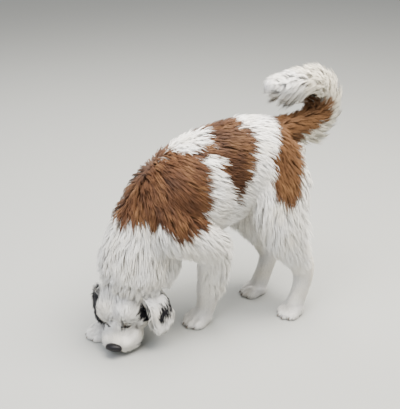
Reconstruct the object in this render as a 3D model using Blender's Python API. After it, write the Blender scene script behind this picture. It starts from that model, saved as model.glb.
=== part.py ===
"""A life-size Saint Bernard with a long coat, walking slowly with its nose to the ground.

The dog faces -X, its left side faces -Y, and its soles stand on Z = 0. All sizes are in metres.
Trunk, neck, legs and tail are lofted through named cross-sections, fused and smoothed as one body, and
then parted into the named pieces. The head is fused from its own forms in a frame of its own: forward
from the back of the skull, then to the dog's left, then up out of the forehead.
"""

import math
import random
from typing import NamedTuple

import bmesh
import bpy
import numpy as np
from mathutils import Matrix, Vector
from mathutils.bvhtree import BVHTree

# The gap that neighbours keep, and the signs of the two sides
GAP = 0.0003
LEFT = -1.0
RIGHT = 1.0

# The head: its length, where its nose is, how far it drops, turns to the left and tilts
HEAD_LENGTH = 0.248
NOSE_TIP = Vector((-0.3816, -0.0463, 0.0280))
HEAD_DROP = math.radians(50.0)
HEAD_TURN = math.radians(43.0)
HEAD_TILT = math.radians(5.0)

# Puts the middle of the whole dog's box over the origin, once it is built
MODEL_SHIFT = Vector((-0.028, -0.028, 0.0))

# How far out the solids are built: 1.0 is out to the coat's tips, 0.0 is the skin
TIPS = 1.0
CORE = 0.5

# Fineness of the fused forms, and what is left of them in the solids
BODY_VOXEL = 0.0055
HEAD_VOXEL = 0.0034
EAR_VOXEL = 0.0030
BODY_SOFT = 6
HEAD_SOFT = 26
BODY_TRIANGLES = 4400
HEAD_TRIANGLES = 2000
EAR_TRIANGLES = 260
CUTTER_VOXEL = 0.009
CUTTER_TRIANGLES = 320
RING_SIDES = 28
LEG_MARGIN = 0.012

# Where the neck leaves the torso, and where the tail is parted: place, way and size of each cut
NECK_CUT = (-0.195, 0.008, 0.455)
NECK_CUT_WAY = (-0.62, 0.0, -0.78)
TAIL_CUTS = (
    ((0.355, -0.017, 0.627), (0.88, 0.0, 0.47), 0.19),
    ((0.322, -0.020, 0.785), (-1.0, 0.0, 0.1), 0.15),
)

# Colour in linear red, green and blue, and roughness
WHITE_COAT = ((0.80, 0.77, 0.70), 0.85)
BROWN_COAT = ((0.22, 0.085, 0.035), 0.85)
BLACK_COAT = ((0.02, 0.018, 0.018), 0.80)
WET_NOSE = ((0.015, 0.013, 0.013), 0.35)
DARK_EYE = ((0.02, 0.010, 0.006), 0.10)
COLOURS = {
    "torso": BROWN_COAT,
    "ear_left": BLACK_COAT,
    "ear_right": BLACK_COAT,
    "nose": WET_NOSE,
    "eye_left": DARK_EYE,
    "eye_right": DARK_EYE,
}


class Section(NamedTuple):
    """A cross-section out to the coat's tips: its middle, its half-sizes across the dog and the other
    way, and how deep the coat is there."""

    at: tuple
    wide: float
    deep: float
    coat: float


class Form(NamedTuple):
    """A rounded form of the head out to the coat's tips: middle and half-sizes, forward, left and up."""

    at: tuple
    size: tuple
    coat: float


class Locks(NamedTuple):
    """A field of locks on one lofted form: where they are rooted along it and round it, how far each
    runs along the form and turns down round it, its half-width, and how far its tip stands out, as a
    share of the depth that the coat has outside the core."""

    form: tuple
    shares: tuple
    rows: int
    angles: tuple
    count: int
    run: float
    turn: float
    wide: float
    lift: float


def trunk_section(x, y, top, bottom, wide, coat):
    """A cross-section of the trunk, from the height of the back and of the belly."""
    return Section((x, y, (top + bottom) / 2), wide, (top - bottom) / 2, coat)


TRUNK = (
    trunk_section(0.276, -0.012, 0.616, 0.500, 0.066, 0.026),
    trunk_section(0.240, -0.012, 0.658, 0.425, 0.104, 0.026),
    trunk_section(0.165, -0.010, 0.697, 0.398, 0.122, 0.024),
    trunk_section(0.060, -0.004, 0.697, 0.372, 0.124, 0.022),
    trunk_section(-0.045, 0.002, 0.672, 0.338, 0.136, 0.024),
    trunk_section(-0.135, 0.006, 0.626, 0.316, 0.140, 0.026),
    trunk_section(-0.205, 0.008, 0.566, 0.320, 0.124, 0.030),
    trunk_section(-0.255, 0.010, 0.500, 0.345, 0.098, 0.030),
)

NECK = (
    Section((-0.140, 0.008, 0.500), 0.118, 0.108, 0.030),
    Section((-0.202, 0.008, 0.432), 0.118, 0.120, 0.036),
    Section((-0.234, 0.010, 0.365), 0.114, 0.132, 0.042),
    Section((-0.246, 0.016, 0.300), 0.116, 0.140, 0.046),
    Section((-0.258, 0.026, 0.236), 0.116, 0.136, 0.048),
)

FORELEG_LEFT = (
    Section((-0.180, -0.070, 0.480), 0.050, 0.078, 0.020),
    Section((-0.160, -0.094, 0.420), 0.056, 0.084, 0.020),
    Section((-0.105, -0.098, 0.375), 0.054, 0.070, 0.020),
    Section((-0.054, -0.086, 0.325), 0.047, 0.056, 0.018),
    Section((-0.038, -0.070, 0.270), 0.041, 0.050, 0.016),
    Section((-0.028, -0.047, 0.190), 0.037, 0.045, 0.014),
    Section((-0.026, -0.028, 0.125), 0.034, 0.040, 0.008),
    Section((-0.026, -0.014, 0.070), 0.031, 0.034, 0.006),
    Section((-0.038, -0.008, 0.035), 0.030, 0.034, 0.005),
)

FORELEG_RIGHT = (
    Section((-0.140, 0.078, 0.470), 0.050, 0.074, 0.020),
    Section((-0.150, 0.114, 0.405), 0.054, 0.078, 0.020),
    Section((-0.142, 0.150, 0.348), 0.052, 0.068, 0.020),
    Section((-0.150, 0.173, 0.296), 0.045, 0.056, 0.018),
    Section((-0.178, 0.178, 0.238), 0.039, 0.049, 0.016),
    Section((-0.226, 0.169, 0.168), 0.035, 0.043, 0.014),
    Section((-0.274, 0.148, 0.110), 0.033, 0.037, 0.008),
    Section((-0.314, 0.121, 0.062), 0.031, 0.034, 0.006),
    Section((-0.338, 0.100, 0.035), 0.030, 0.034, 0.005),
)

HINDLEG_LEFT = (
    Section((0.180, -0.064, 0.560), 0.064, 0.115, 0.024),
    Section((0.192, -0.088, 0.480), 0.068, 0.120, 0.030),
    Section((0.192, -0.102, 0.400), 0.064, 0.100, 0.032),
    Section((0.212, -0.110, 0.325), 0.050, 0.072, 0.024),
    Section((0.246, -0.112, 0.250), 0.040, 0.052, 0.016),
    Section((0.283, -0.113, 0.192), 0.032, 0.042, 0.010),
    Section((0.293, -0.114, 0.145), 0.029, 0.037, 0.006),
    Section((0.282, -0.115, 0.090), 0.027, 0.032, 0.005),
    Section((0.262, -0.116, 0.040), 0.029, 0.034, 0.005),
)

HINDLEG_RIGHT = (
    Section((0.175, 0.046, 0.555), 0.064, 0.112, 0.024),
    Section((0.180, 0.066, 0.475), 0.066, 0.116, 0.030),
    Section((0.176, 0.080, 0.395), 0.062, 0.096, 0.032),
    Section((0.196, 0.084, 0.320), 0.049, 0.069, 0.024),
    Section((0.234, 0.080, 0.245), 0.038, 0.048, 0.016),
    Section((0.270, 0.074, 0.186), 0.032, 0.042, 0.010),
    Section((0.278, 0.070, 0.143), 0.029, 0.037, 0.006),
    Section((0.262, 0.067, 0.090), 0.027, 0.032, 0.005),
    Section((0.238, 0.064, 0.040), 0.029, 0.034, 0.005),
)

TAIL = (
    Section((0.205, -0.012, 0.625), 0.045, 0.042, 0.020),
    Section((0.268, -0.014, 0.640), 0.042, 0.044, 0.020),
    Section((0.328, -0.016, 0.640), 0.042, 0.060, 0.028),
    Section((0.386, -0.018, 0.658), 0.048, 0.076, 0.046),
    Section((0.404, -0.020, 0.722), 0.054, 0.070, 0.050),
    Section((0.368, -0.020, 0.770), 0.054, 0.060, 0.044),
    Section((0.300, -0.018, 0.782), 0.048, 0.046, 0.036),
    Section((0.205, -0.014, 0.788), 0.030, 0.026, 0.020),
)

# The long coat: back and sides, belly, ruff, feathers, shoulders, thighs, breeches and plume
LOCK_SEED = 7
WELD = 1e-6
LOCK_STEPS = 3
LOCK_RISE = 0.50
LOCK_SUNK = 0.010
LOCK_THICK = 0.20
LOCK_HUG = 0.6
HELD_WITHIN = 0.03
FACING = 0.003
KEPT_SHARE = 0.86
FIELDS = (
    Locks(TRUNK, (1.0, 6.4), 6, (-216, 36), 6, -0.125, 22, 0.047, 0.95),
    Locks(TRUNK, (2.0, 6.0), 4, (66, 114), 2, -0.090, 0, 0.032, 1.25),
    Locks(NECK, (0.4, 3.5), 5, (-190, 130), 7, 0.104, 0, 0.047, 1.00),
    Locks(FORELEG_LEFT, (1.2, 2.4), 2, (130, 230), 2, 0.080, 0, 0.036, 0.95),
    Locks(FORELEG_LEFT, (2.7, 5.2), 3, (66, 114), 2, 0.066, 0, 0.020, 1.35),
    Locks(FORELEG_RIGHT, (1.2, 2.4), 2, (-50, 50), 2, 0.080, 0, 0.036, 0.95),
    Locks(FORELEG_RIGHT, (2.7, 5.2), 3, (66, 114), 2, 0.066, 0, 0.020, 1.35),
    Locks(HINDLEG_LEFT, (0.7, 2.1), 2, (150, 235), 2, 0.090, 0, 0.040, 0.90),
    Locks(HINDLEG_LEFT, (0.8, 3.5), 4, (58, 124), 2, 0.080, 0, 0.030, 1.15),
    Locks(HINDLEG_RIGHT, (0.7, 2.1), 2, (-55, 30), 2, 0.090, 0, 0.040, 0.90),
    Locks(HINDLEG_RIGHT, (0.8, 3.5), 4, (56, 122), 2, 0.080, 0, 0.030, 1.15),
    Locks(TAIL, (1.2, 6.7), 7, (-190, 170), 5, 0.094, 0, 0.032, 1.04),
)

# The paws: the middle of each sole, and where the toes point
PAWS = {
    "foreleg_left": (Vector((-0.046, -0.002, 0.0)), math.radians(4.0)),
    "foreleg_right": (Vector((-0.354, 0.088, 0.0)), math.radians(-14.0)),
    "hindleg_left": (Vector((0.254, -0.114, 0.0)), math.radians(4.0)),
    "hindleg_right": (Vector((0.219, 0.063, 0.0)), math.radians(-14.0)),
}
PAW_SIZE = {"foreleg_left": 1.0, "foreleg_right": 1.0, "hindleg_left": 0.92, "hindleg_right": 0.92}
LEGS = {
    "foreleg_left": FORELEG_LEFT,
    "foreleg_right": FORELEG_RIGHT,
    "hindleg_left": HINDLEG_LEFT,
    "hindleg_right": HINDLEG_RIGHT,
}

# The head's forms that lie on the middle line, and those that come in pairs
HEAD_MIDDLE = (
    Form((0.078, 0.0, 0.008), (0.086, 0.078, 0.070), 0.010),
    Form((0.040, 0.0, -0.040), (0.070, 0.066, 0.062), 0.014),
    Form((0.150, 0.0, -0.010), (0.050, 0.050, 0.046), 0.005),
)
HEAD_PAIRS = (
    Form((0.122, 0.024, 0.026), (0.044, 0.044, 0.044), 0.006),
    Form((0.150, 0.038, 0.026), (0.018, 0.024, 0.016), 0.005),
    Form((0.108, 0.050, -0.026), (0.060, 0.036, 0.050), 0.008),
    Form((0.170, 0.041, -0.044), (0.046, 0.029, 0.038), 0.006),
    Form((0.212, 0.022, -0.018), (0.028, 0.028, 0.030), 0.005),
)
MUZZLE = (
    Section((0.130, 0.0, -0.022), 0.054, 0.050, 0.005),
    Section((0.165, 0.0, -0.024), 0.050, 0.045, 0.005),
    Section((0.195, 0.0, -0.022), 0.048, 0.040, 0.005),
    Section((0.216, 0.0, -0.016), 0.042, 0.032, 0.005),
)
JAW = (
    Section((0.080, 0.0, -0.072), 0.040, 0.028, 0.010),
    Section((0.140, 0.0, -0.074), 0.036, 0.020, 0.006),
    Section((0.184, 0.0, -0.064), 0.028, 0.015, 0.005),
)
NOSE = Form((0.236, 0.0, 0.000), (0.015, 0.026, 0.020), 0.0)
EYE = Form((0.159, 0.037, 0.008), (0.013, 0.013, 0.013), 0.0)
LIDS = Form((0.159, 0.037, 0.008), (0.019, 0.020, 0.017), 0.0)

# The way an eye looks out, the opening between its lids, and the nostrils
EYE_WAY = Vector((0.74, 0.66, 0.10))
EYE_OPENING = (0.014, 0.016, 0.0042)
NOSTRIL = Form((0.249, 0.011, -0.002), (0.007, 0.0042, 0.0050), 0.0)

# The line of the mouth on the left side, from under the nose to its corner, and its groove
MOUTH = (
    (0.225, 0.000, -0.050),
    (0.214, 0.026, -0.060),
    (0.186, 0.046, -0.074),
    (0.150, 0.054, -0.074),
    (0.118, 0.060, -0.060),
)
MOUTH_DEEP = 0.014
MOUTH_THICK = 0.0018

# The ears hang from the top corners of the skull
EAR_ROOT = (0.058, 0.072, 0.034)
EAR_DROP = {LEFT: 0.140, RIGHT: 0.116}
EAR_WIDTHS = (0.026, 0.036, 0.043, 0.044, 0.038, 0.026, 0.010)
EAR_THICK = 0.0085
EAR_CUP = 0.012
EAR_SWING = {LEFT: 0.058, RIGHT: 0.006}


def head_frame():
    """The matrix that takes a place in the head's own frame to the world."""
    heading = Vector((-math.cos(HEAD_TURN), LEFT * math.sin(HEAD_TURN), 0.0))
    forward = heading * math.cos(HEAD_DROP) - Vector((0.0, 0.0, math.sin(HEAD_DROP)))
    level = Vector((math.sin(HEAD_TURN), LEFT * math.cos(HEAD_TURN), 0.0))
    left = Matrix.Rotation(HEAD_TILT, 3, forward) @ level
    up = forward.cross(left)
    frame = Matrix((forward, left, up)).transposed().to_4x4()
    frame.translation = NOSE_TIP - forward * HEAD_LENGTH
    return frame


def spline(points, share):
    """A point of the smooth curve through these points, at a share counted in whole points."""
    last = len(points) - 1
    first = min(int(share), last - 1)
    t = share - first
    a, b, c, d = (points[min(max(first + k, 0), last)] for k in (-1, 0, 1, 2))
    if first == 0:
        a = 2 * points[0] - points[1]
    if first == last - 1:
        d = 2 * points[last] - points[last - 1]
    return 0.5 * (2 * b + (c - a) * t + (2 * a - 5 * b + 4 * c - d) * t**2 + (3 * b - 3 * c + d - a) * t**3)


def mesh_object(name, bm):
    """A scene object that holds the finished bmesh."""
    mesh = bpy.data.meshes.new(name)
    bm.to_mesh(mesh)
    bm.free()
    obj = bpy.data.objects.new(name, mesh)
    bpy.context.scene.collection.objects.link(obj)
    return obj


def loft(sections, across=(0, 1, 0), reach=TIPS, grow=0.0, end=1.0, steps=4, cup=0.0, sides=RING_SIDES):
    """A closed round-ended tube through the sections, as a bmesh.

    reach says how much of the coat it holds, grow widens it all round, end flattens the far end, and
    cup bends each flat cross-section into a hollow.
    """
    across = Vector(across)
    rows = [np.array((*s.at, *(size - (1 - reach) * s.coat + grow for size in s[1:3]))) for s in sections]
    shares = np.linspace(0, len(rows) - 1, (len(rows) - 1) * steps + 1)
    line = [spline(rows, share) for share in shares]
    dome = [math.radians(90 * k / 3.5) for k in range(4)]
    bm = bmesh.new()
    rings = []
    for index, row in enumerate(line):
        middle = Vector(row[:3])
        along = Vector(line[min(index + 1, len(line) - 1)][:3]) - Vector(line[max(index - 1, 0)][:3])
        along.normalize()
        side = (across - across.dot(along) * along).normalized()
        up = along.cross(side)
        ends = [(0.0, 1.0)]
        if index in (0, len(line) - 1):
            ends = [(math.sin(turn), math.cos(turn)) for turn in dome]
        if index == 0:
            ends = [(-out, scale) for out, scale in reversed(ends)]
        elif index == len(line) - 1:
            ends = [(out * end, scale) for out, scale in ends]
        for out, scale in ends:
            centre = middle + along * out * min(row[3], row[4])
            ring = []
            for k in range(sides):
                angle = 2 * math.pi * k / sides
                sideways = math.cos(angle) * scale
                hollow = cup * sideways * sideways
                offset = side * (sideways * row[3]) + up * (math.sin(angle) * row[4] * scale - hollow)
                ring.append(bm.verts.new(centre + offset))
            rings.append(ring)
    for ring, after in zip(rings, rings[1:]):
        for k in range(sides):
            n = (k + 1) % sides
            bm.faces.new((ring[k], ring[n], after[n], after[k]))
    bm.faces.new(list(reversed(rings[0])))
    bm.faces.new(rings[-1])
    return bm


def place_on(sections, share, angle, out, across=(0, 1, 0)):
    """A place on a lofted form, this far out from its core, with the way out of it and its radius there.

    Past the last section the form runs on along its own line and tapers.
    """
    rows = [np.array((*s.at, *(size - (1 - CORE) * s.coat for size in s[1:3]))) for s in sections]
    last = len(rows) - 1.0
    inner = min(max(share, 0.0), last)
    row = spline(rows, inner)
    ahead = spline(rows, min(inner + 0.05, last))
    behind = spline(rows, max(inner - 0.05, 0.0))
    along = Vector(ahead[:3]) - Vector(behind[:3])
    unit = along.length / (min(inner + 0.05, last) - max(inner - 0.05, 0.0))
    along.normalize()
    side = (Vector(across) - Vector(across).dot(along) * along).normalized()
    up = along.cross(side)
    past = share - inner
    taper = max(1.0 - 0.8 * abs(past), 0.2)
    wide, deep = row[3] * taper, row[4] * taper
    turn = math.radians(angle)
    outward = (side * (math.cos(turn) / wide) + up * (math.sin(turn) / deep)).normalized()
    middle = Vector(row[:3]) + along * (past * unit)
    at = middle + side * (math.cos(turn) * wide) + up * (math.sin(turn) * deep) + outward * out
    return at, outward, unit, (wide + deep) / 2


def coat_at(sections, share):
    """How deep the coat is outside the core at this share of a form."""
    coats = [np.array((s.coat,)) for s in sections]
    return float(spline(coats, min(max(share, 0.0), len(coats) - 1.0))[0]) * (1 - CORE)


def lock(field, share, angle, size, grow=0.0):
    """The points and faces of one flat tapered lock with a ridge, from its sunk root to its tip."""
    unit, radius = place_on(field.form, share, angle, 0.0)[2:]
    turn = field.turn * math.cos(math.radians(angle))
    tip = coat_at(field.form, share) * field.lift * size
    spine = []
    for k in range(LOCK_STEPS + 1):
        t = k / LOCK_STEPS
        out = (tip + LOCK_SUNK) * math.sin(math.pi / 2 * min(t / LOCK_RISE, 1.0)) - LOCK_SUNK
        moved = share + field.run * size * t / unit
        spine.append(place_on(field.form, moved, angle + turn * t**1.3, out)[:2])
    points = []
    for k, (at, outward) in enumerate(spine[:-1]):
        t = k / LOCK_STEPS
        along = (spine[k + 1][0] - spine[max(k - 1, 0)][0]).normalized()
        sideways = along.cross(outward).normalized()
        wide = field.wide * size * math.sin(math.pi * (0.25 + 0.75 * t)) + grow
        thick = field.wide * LOCK_THICK * (1 - t) ** 0.6 + grow
        drop = LOCK_HUG * wide * wide / (2 * radius) + thick
        points.append(at - sideways * wide - outward * drop)
        points.append(at + outward * grow)
        points.append(at + sideways * wide - outward * drop)
    points.append(spine[-1][0] + (spine[-1][0] - spine[-2][0]).normalized() * grow)
    faces = [(0, 1, 2)]
    for ring in range(0, 3 * LOCK_STEPS - 3, 3):
        for k in range(3):
            n = (k + 1) % 3
            faces.append((ring + k, ring + k + 3, ring + n))
            faces.append((ring + n, ring + k + 3, ring + n + 3))
    final = 3 * LOCK_STEPS - 3
    faces.extend((final + k, final + 3, final + (k + 1) % 3) for k in range(3))
    return points, faces


def holds(tree, point):
    """Whether a point lies inside a closed surface, not far below it."""
    near, normal, face, distance = tree.find_nearest(point)
    return distance < HELD_WITHIN and (near - point).dot(normal) > 0


def lay_coat(nodes):
    """Lays the locks on these nodes and fuses each into the node that holds its root.

    A lock that would come to another node, or to a lock of another node, is made shorter or left out.
    """
    draw = random.Random(LOCK_SEED)
    trees = {}
    for obj in nodes:
        bm = bmesh.new()
        bm.from_mesh(obj.data)
        trees[obj.name] = BVHTree.FromBMesh(bm)
        bm.free()
    laid = {obj.name: [] for obj in nodes if obj.name != "head"}
    for field in FIELDS:
        for row, share in enumerate(np.linspace(*field.shares, field.rows)):
            step = (field.angles[1] - field.angles[0]) / field.count
            for k in range(field.count):
                angle = field.angles[0] + step * (k + 0.5 * (row % 2) + 0.25 + draw.uniform(-0.18, 0.18))
                place = share + draw.uniform(-0.12, 0.12)
                size = draw.uniform(0.86, 1.14)
                add_lock(field, place, angle, size, trees, laid)
    for name, locks in laid.items():
        if locks:
            fuse_locks(bpy.data.objects[name], locks)
            drop_slivers(bpy.data.objects[name], [tree for other, tree in trees.items() if other != name])


def add_lock(field, share, angle, size, trees, laid):
    """Adds one lock to the node that holds its root, if it can be kept clear of all the others."""
    root = place_on(field.form, share, angle, -LOCK_SUNK)[0]
    owners = [name for name, tree in trees.items() if holds(tree, root)]
    if len(owners) != 1 or owners[0] not in laid:
        return
    owner = owners[0]
    others = [tree for name, tree in trees.items() if name != owner]
    others += [tree for name, locks in laid.items() if name != owner for shape, tree in locks]
    for shrink in (1.0, 0.8, 0.62):
        test = BVHTree.FromPolygons(*lock(field, share, angle, size * shrink, 2 * GAP))
        if not any(test.overlap(other) for other in others):
            shape = lock(field, share, angle, size * shrink)
            laid[owner].append((shape, BVHTree.FromPolygons(*shape)))
            return


def flaws(mesh):
    """The places where a surface meets itself, as a coincidence of two locks can leave it."""
    bm = bmesh.new()
    bm.from_mesh(mesh)
    bmesh.ops.remove_doubles(bm, verts=bm.verts, dist=WELD)
    found = [vertex.co.copy() for vertex in bm.verts if not vertex.is_manifold]
    bm.free()
    return found


def fuse_locks(obj, locks):
    """Fuses the locks into the object in one union. Where the result meets itself, the lock there is
    left out and the union is made again."""
    bare = obj.data.copy()
    locks = list(locks)
    while locks:
        unite(obj, [shape for shape, tree in locks])
        faults = flaws(obj.data)
        if not faults:
            break
        touching = {min(range(len(locks)), key=lambda k: locks[k][1].find_nearest(at)[3]) for at in faults}
        locks = [entry for k, entry in enumerate(locks) if k not in touching]
        obj.data = bare.copy()
    return obj


def drop_slivers(obj, others):
    """Drops the needle-thin triangles that the union leaves where locks meet the body. The soles and the
    faces next to other nodes stay as they are."""
    free = obj.vertex_groups.new(name="free")
    for vertex in obj.data.vertices:
        nearest = min(tree.find_nearest(vertex.co)[3] for tree in others)
        loose = nearest > FACING and vertex.co.z > FACING
        free.add([vertex.index], float(loose), "REPLACE")
    before = obj.data.copy()
    fewer = obj.modifiers.new("reduce", "DECIMATE")
    fewer.ratio = KEPT_SHARE
    fewer.use_collapse_triangulate = True
    fewer.vertex_group = free.name
    settle(obj)
    if flaws(obj.data):
        obj.data = before


def unite(obj, shapes):
    """One union of the object with all these shapes, of which the largest closed surface is kept."""
    collection = bpy.data.collections.new("locks")
    bpy.context.scene.collection.children.link(collection)
    for points, faces in shapes:
        mesh = bpy.data.meshes.new("lock")
        mesh.from_pydata(points, [], faces)
        collection.objects.link(bpy.data.objects.new("lock", mesh))
    union = obj.modifiers.new("locks", "BOOLEAN")
    union.operation = "UNION"
    union.operand_type = "COLLECTION"
    union.collection = collection
    union.solver = "EXACT"
    settle(obj)
    for other in list(collection.objects):
        bpy.data.objects.remove(other)
    bpy.data.collections.remove(collection)
    return largest(obj)


def ball(middle, sizes, frame=None, segments=12):
    """A closed ellipsoid with these half-sizes, as a bmesh."""
    bm = bmesh.new()
    place = (frame or Matrix.Identity(4)) @ Matrix.Translation(middle) @ Matrix.Diagonal((*sizes, 1))
    bmesh.ops.create_uvsphere(bm, u_segments=segments, v_segments=segments // 2, radius=1, matrix=place)
    return bm


def joined(name, forms):
    """One object that holds all of these bmeshes."""
    whole = bmesh.new()
    for form in forms:
        part = bpy.data.meshes.new("part")
        form.to_mesh(part)
        form.free()
        whole.from_mesh(part)
        bpy.data.meshes.remove(part)
    return mesh_object(name, whole)


def settle(obj):
    """Applies the object's modifiers."""
    bpy.context.view_layer.update()
    graph = bpy.context.evaluated_depsgraph_get()
    mesh = bpy.data.meshes.new_from_object(obj.evaluated_get(graph))
    obj.modifiers.clear()
    old = obj.data
    obj.data = mesh
    bpy.data.meshes.remove(old)
    return obj


def fused(name, forms, voxel, smoothing, triangles):
    """The forms fused into one skin, smoothed, and reduced to about this many triangles."""
    obj = joined(name, forms)
    remesh = obj.modifiers.new("fuse", "REMESH")
    remesh.mode = "VOXEL"
    remesh.voxel_size = voxel
    settle(obj)
    smooth = obj.modifiers.new("soften", "SMOOTH")
    smooth.factor = 0.5
    smooth.iterations = smoothing
    obj.modifiers.new("triangles", "TRIANGULATE")
    settle(obj)
    fewer = obj.modifiers.new("reduce", "DECIMATE")
    fewer.ratio = min(1.0, triangles / len(obj.data.polygons))
    return settle(obj)


def copy_of(obj, name, grow=0.0):
    """A copy of the object, grown outwards by this much."""
    new = bpy.data.objects.new(name, obj.data.copy())
    bpy.context.scene.collection.objects.link(new)
    if grow:
        normals = [v.normal.copy() for v in new.data.vertices]
        for vertex, normal in zip(new.data.vertices, normals):
            vertex.co += normal * grow
    return new


def combine(obj, other, operation):
    """Cuts the object by the other, or keeps what they share; the other is then removed."""
    cut = obj.modifiers.new("combine", "BOOLEAN")
    cut.operation = operation
    cut.object = other
    cut.solver = "EXACT"
    settle(obj)
    bpy.data.objects.remove(other)
    return largest(obj)


def largest(obj):
    """Keeps only the largest closed surface of the object."""
    bm = bmesh.new()
    bm.from_mesh(obj.data)
    left = set(bm.verts)
    shells = []
    while left:
        shell = {left.pop()}
        edge = list(shell)
        while edge:
            vertex = edge.pop()
            for link in vertex.link_edges:
                other = link.other_vert(vertex)
                if other in left:
                    left.remove(other)
                    shell.add(other)
                    edge.append(other)
        shells.append(shell)
    shells.sort(key=len)
    for shell in shells[:-1]:
        bmesh.ops.delete(bm, geom=list(shell), context="VERTS")
    bm.to_mesh(obj.data)
    bm.free()
    return obj


def flat_soles(obj):
    """Cuts the object off level with the floor and closes it there."""
    bm = bmesh.new()
    bm.from_mesh(obj.data)
    geometry = bm.verts[:] + bm.edges[:] + bm.faces[:]
    floor = {"plane_co": (0, 0, 0), "plane_no": (0, 0, -1), "dist": 1e-6}
    bmesh.ops.bisect_plane(bm, geom=geometry, clear_outer=True, **floor)
    rim = [edge for edge in bm.edges if edge.is_boundary]
    bmesh.ops.holes_fill(bm, edges=rim, sides=0)
    bmesh.ops.triangulate(bm, faces=[face for face in bm.faces if len(face.verts) > 3])
    bm.to_mesh(obj.data)
    bm.free()
    return obj


def part_at(obj, name, point, direction, size):
    """Parts the object by a thin flat cut, and returns the piece beyond the cut as a new object."""
    turn = Vector(direction).to_track_quat("Z", "Y").to_matrix().to_4x4()
    slab = bmesh.new()
    place = Matrix.Translation(point) @ turn @ Matrix.Diagonal((size, size, GAP, 1))
    bmesh.ops.create_cube(slab, size=1, matrix=place)
    cut = obj.modifiers.new("part", "BOOLEAN")
    cut.operation = "DIFFERENCE"
    cut.object = mesh_object("slab", slab)
    cut.solver = "EXACT"
    settle(obj)
    bpy.data.objects.remove(bpy.data.objects["slab"])
    return split_off(obj, name, Vector(point) + Vector(direction).normalized() * size / 8)


def split_off(obj, name, point):
    """Takes the loose piece nearest to the point out of the object, into a new one."""
    bm = bmesh.new()
    bm.from_mesh(obj.data)
    nearest = min(bm.verts, key=lambda v: (v.co - Vector(point)).length)
    shell = {nearest}
    edge = [nearest]
    while edge:
        vertex = edge.pop()
        for link in vertex.link_edges:
            other = link.other_vert(vertex)
            if other not in shell:
                shell.add(other)
                edge.append(other)
    apart = bm.copy()
    bm.verts.index_update()
    apart.verts.ensure_lookup_table()
    inside = {v.index for v in shell}
    bmesh.ops.delete(apart, geom=[v for v in apart.verts if v.index not in inside], context="VERTS")
    bmesh.ops.delete(bm, geom=list(shell), context="VERTS")
    bm.to_mesh(obj.data)
    bm.free()
    return mesh_object(name, apart)


def taken(body, name, cutter):
    """Takes what lies inside the cutter out of the body, as a new object."""
    piece = combine(copy_of(body, name), copy_of(cutter, "inner"), "INTERSECT")
    combine(body, copy_of(cutter, "outer", GAP), "DIFFERENCE")
    bpy.data.objects.remove(cutter)
    return piece


def paw_forms(name):
    """The pad, knuckles and toes of one paw."""
    sole, turn = PAWS[name]
    size = PAW_SIZE[name]
    frame = Matrix.Translation(sole) @ Matrix.Rotation(turn, 4, "Z") @ Matrix.Scale(size, 4)
    forms = [ball((0.012, 0, 0.024), (0.036, 0.034, 0.030), frame)]
    for across, ahead in ((-0.031, 0.010), (-0.011, 0.026), (0.011, 0.026), (0.031, 0.010)):
        forms.append(ball((-ahead - 0.008, across, 0.013), (0.026, 0.0130, 0.017), frame))
        forms.append(ball((-ahead + 0.014, across * 0.85, 0.028), (0.024, 0.0120, 0.017), frame))
    return forms


def body_forms(reach):
    """Trunk, neck, tail, legs and paws."""
    forms = [loft(TRUNK, reach=reach), loft(NECK, reach=reach, end=0.4), loft(TAIL, reach=reach)]
    for name, sections in LEGS.items():
        forms.append(loft(sections, reach=reach))
        forms.extend(paw_forms(name))
    return forms


def head_ball(form, frame, reach, side=1.0):
    """One rounded form of the head, as far out as the coat is built."""
    forward, left, up = form.at
    sizes = tuple(size - (1 - reach) * form.coat for size in form.size)
    return ball((forward, left * side, up), sizes, frame)


def head_forms(reach):
    """Skull, cheeks, brows, muzzle, flews and jaw."""
    frame = head_frame()
    forms = [head_ball(form, frame, reach) for form in HEAD_MIDDLE]
    for form in (*HEAD_PAIRS, LIDS):
        forms.extend(head_ball(form, frame, reach, side) for side in (LEFT, RIGHT))
    for sections in (MUZZLE, JAW):
        form = loft(sections, reach=reach)
        bmesh.ops.transform(form, matrix=frame, verts=form.verts)
        forms.append(form)
    return forms


def eye_frame(side):
    """The matrix of one eye, with its first axis the way the eye looks out."""
    forward, left, up = EYE.at
    way = Vector((EYE_WAY.x, EYE_WAY.y * side, EYE_WAY.z)).normalized()
    across = Vector((0, 0, 1)).cross(way).normalized()
    turn = Matrix((way, across, way.cross(across))).transposed().to_4x4()
    return head_frame() @ Matrix.Translation((forward, left * side, up)) @ turn


def mouth_groove():
    """A thin wedge along the line of the mouth, from corner to corner."""
    half = [Vector(point) for point in MOUTH]
    line = [Vector((p.x, -p.y, p.z)) for p in reversed(half[1:])] + half
    frame = head_frame()
    bm = bmesh.new()
    rings = []
    for at in line:
        inward = (Vector((0.120, 0.0, at.z)) - at).normalized()
        lift = Vector((0, 0, MOUTH_THICK))
        corners = (at - inward * 0.020 + lift * 3, at - inward * 0.020 - lift * 3, at + inward * MOUTH_DEEP)
        rings.append([bm.verts.new(frame @ corner) for corner in corners])
    for ring, after in zip(rings, rings[1:]):
        for k in range(3):
            n = (k + 1) % 3
            bm.faces.new((ring[k], ring[n], after[n], after[k]))
    bm.faces.new(list(reversed(rings[0])))
    bm.faces.new(rings[-1])
    bmesh.ops.recalc_face_normals(bm, faces=bm.faces)
    return mesh_object("groove", bm)


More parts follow.
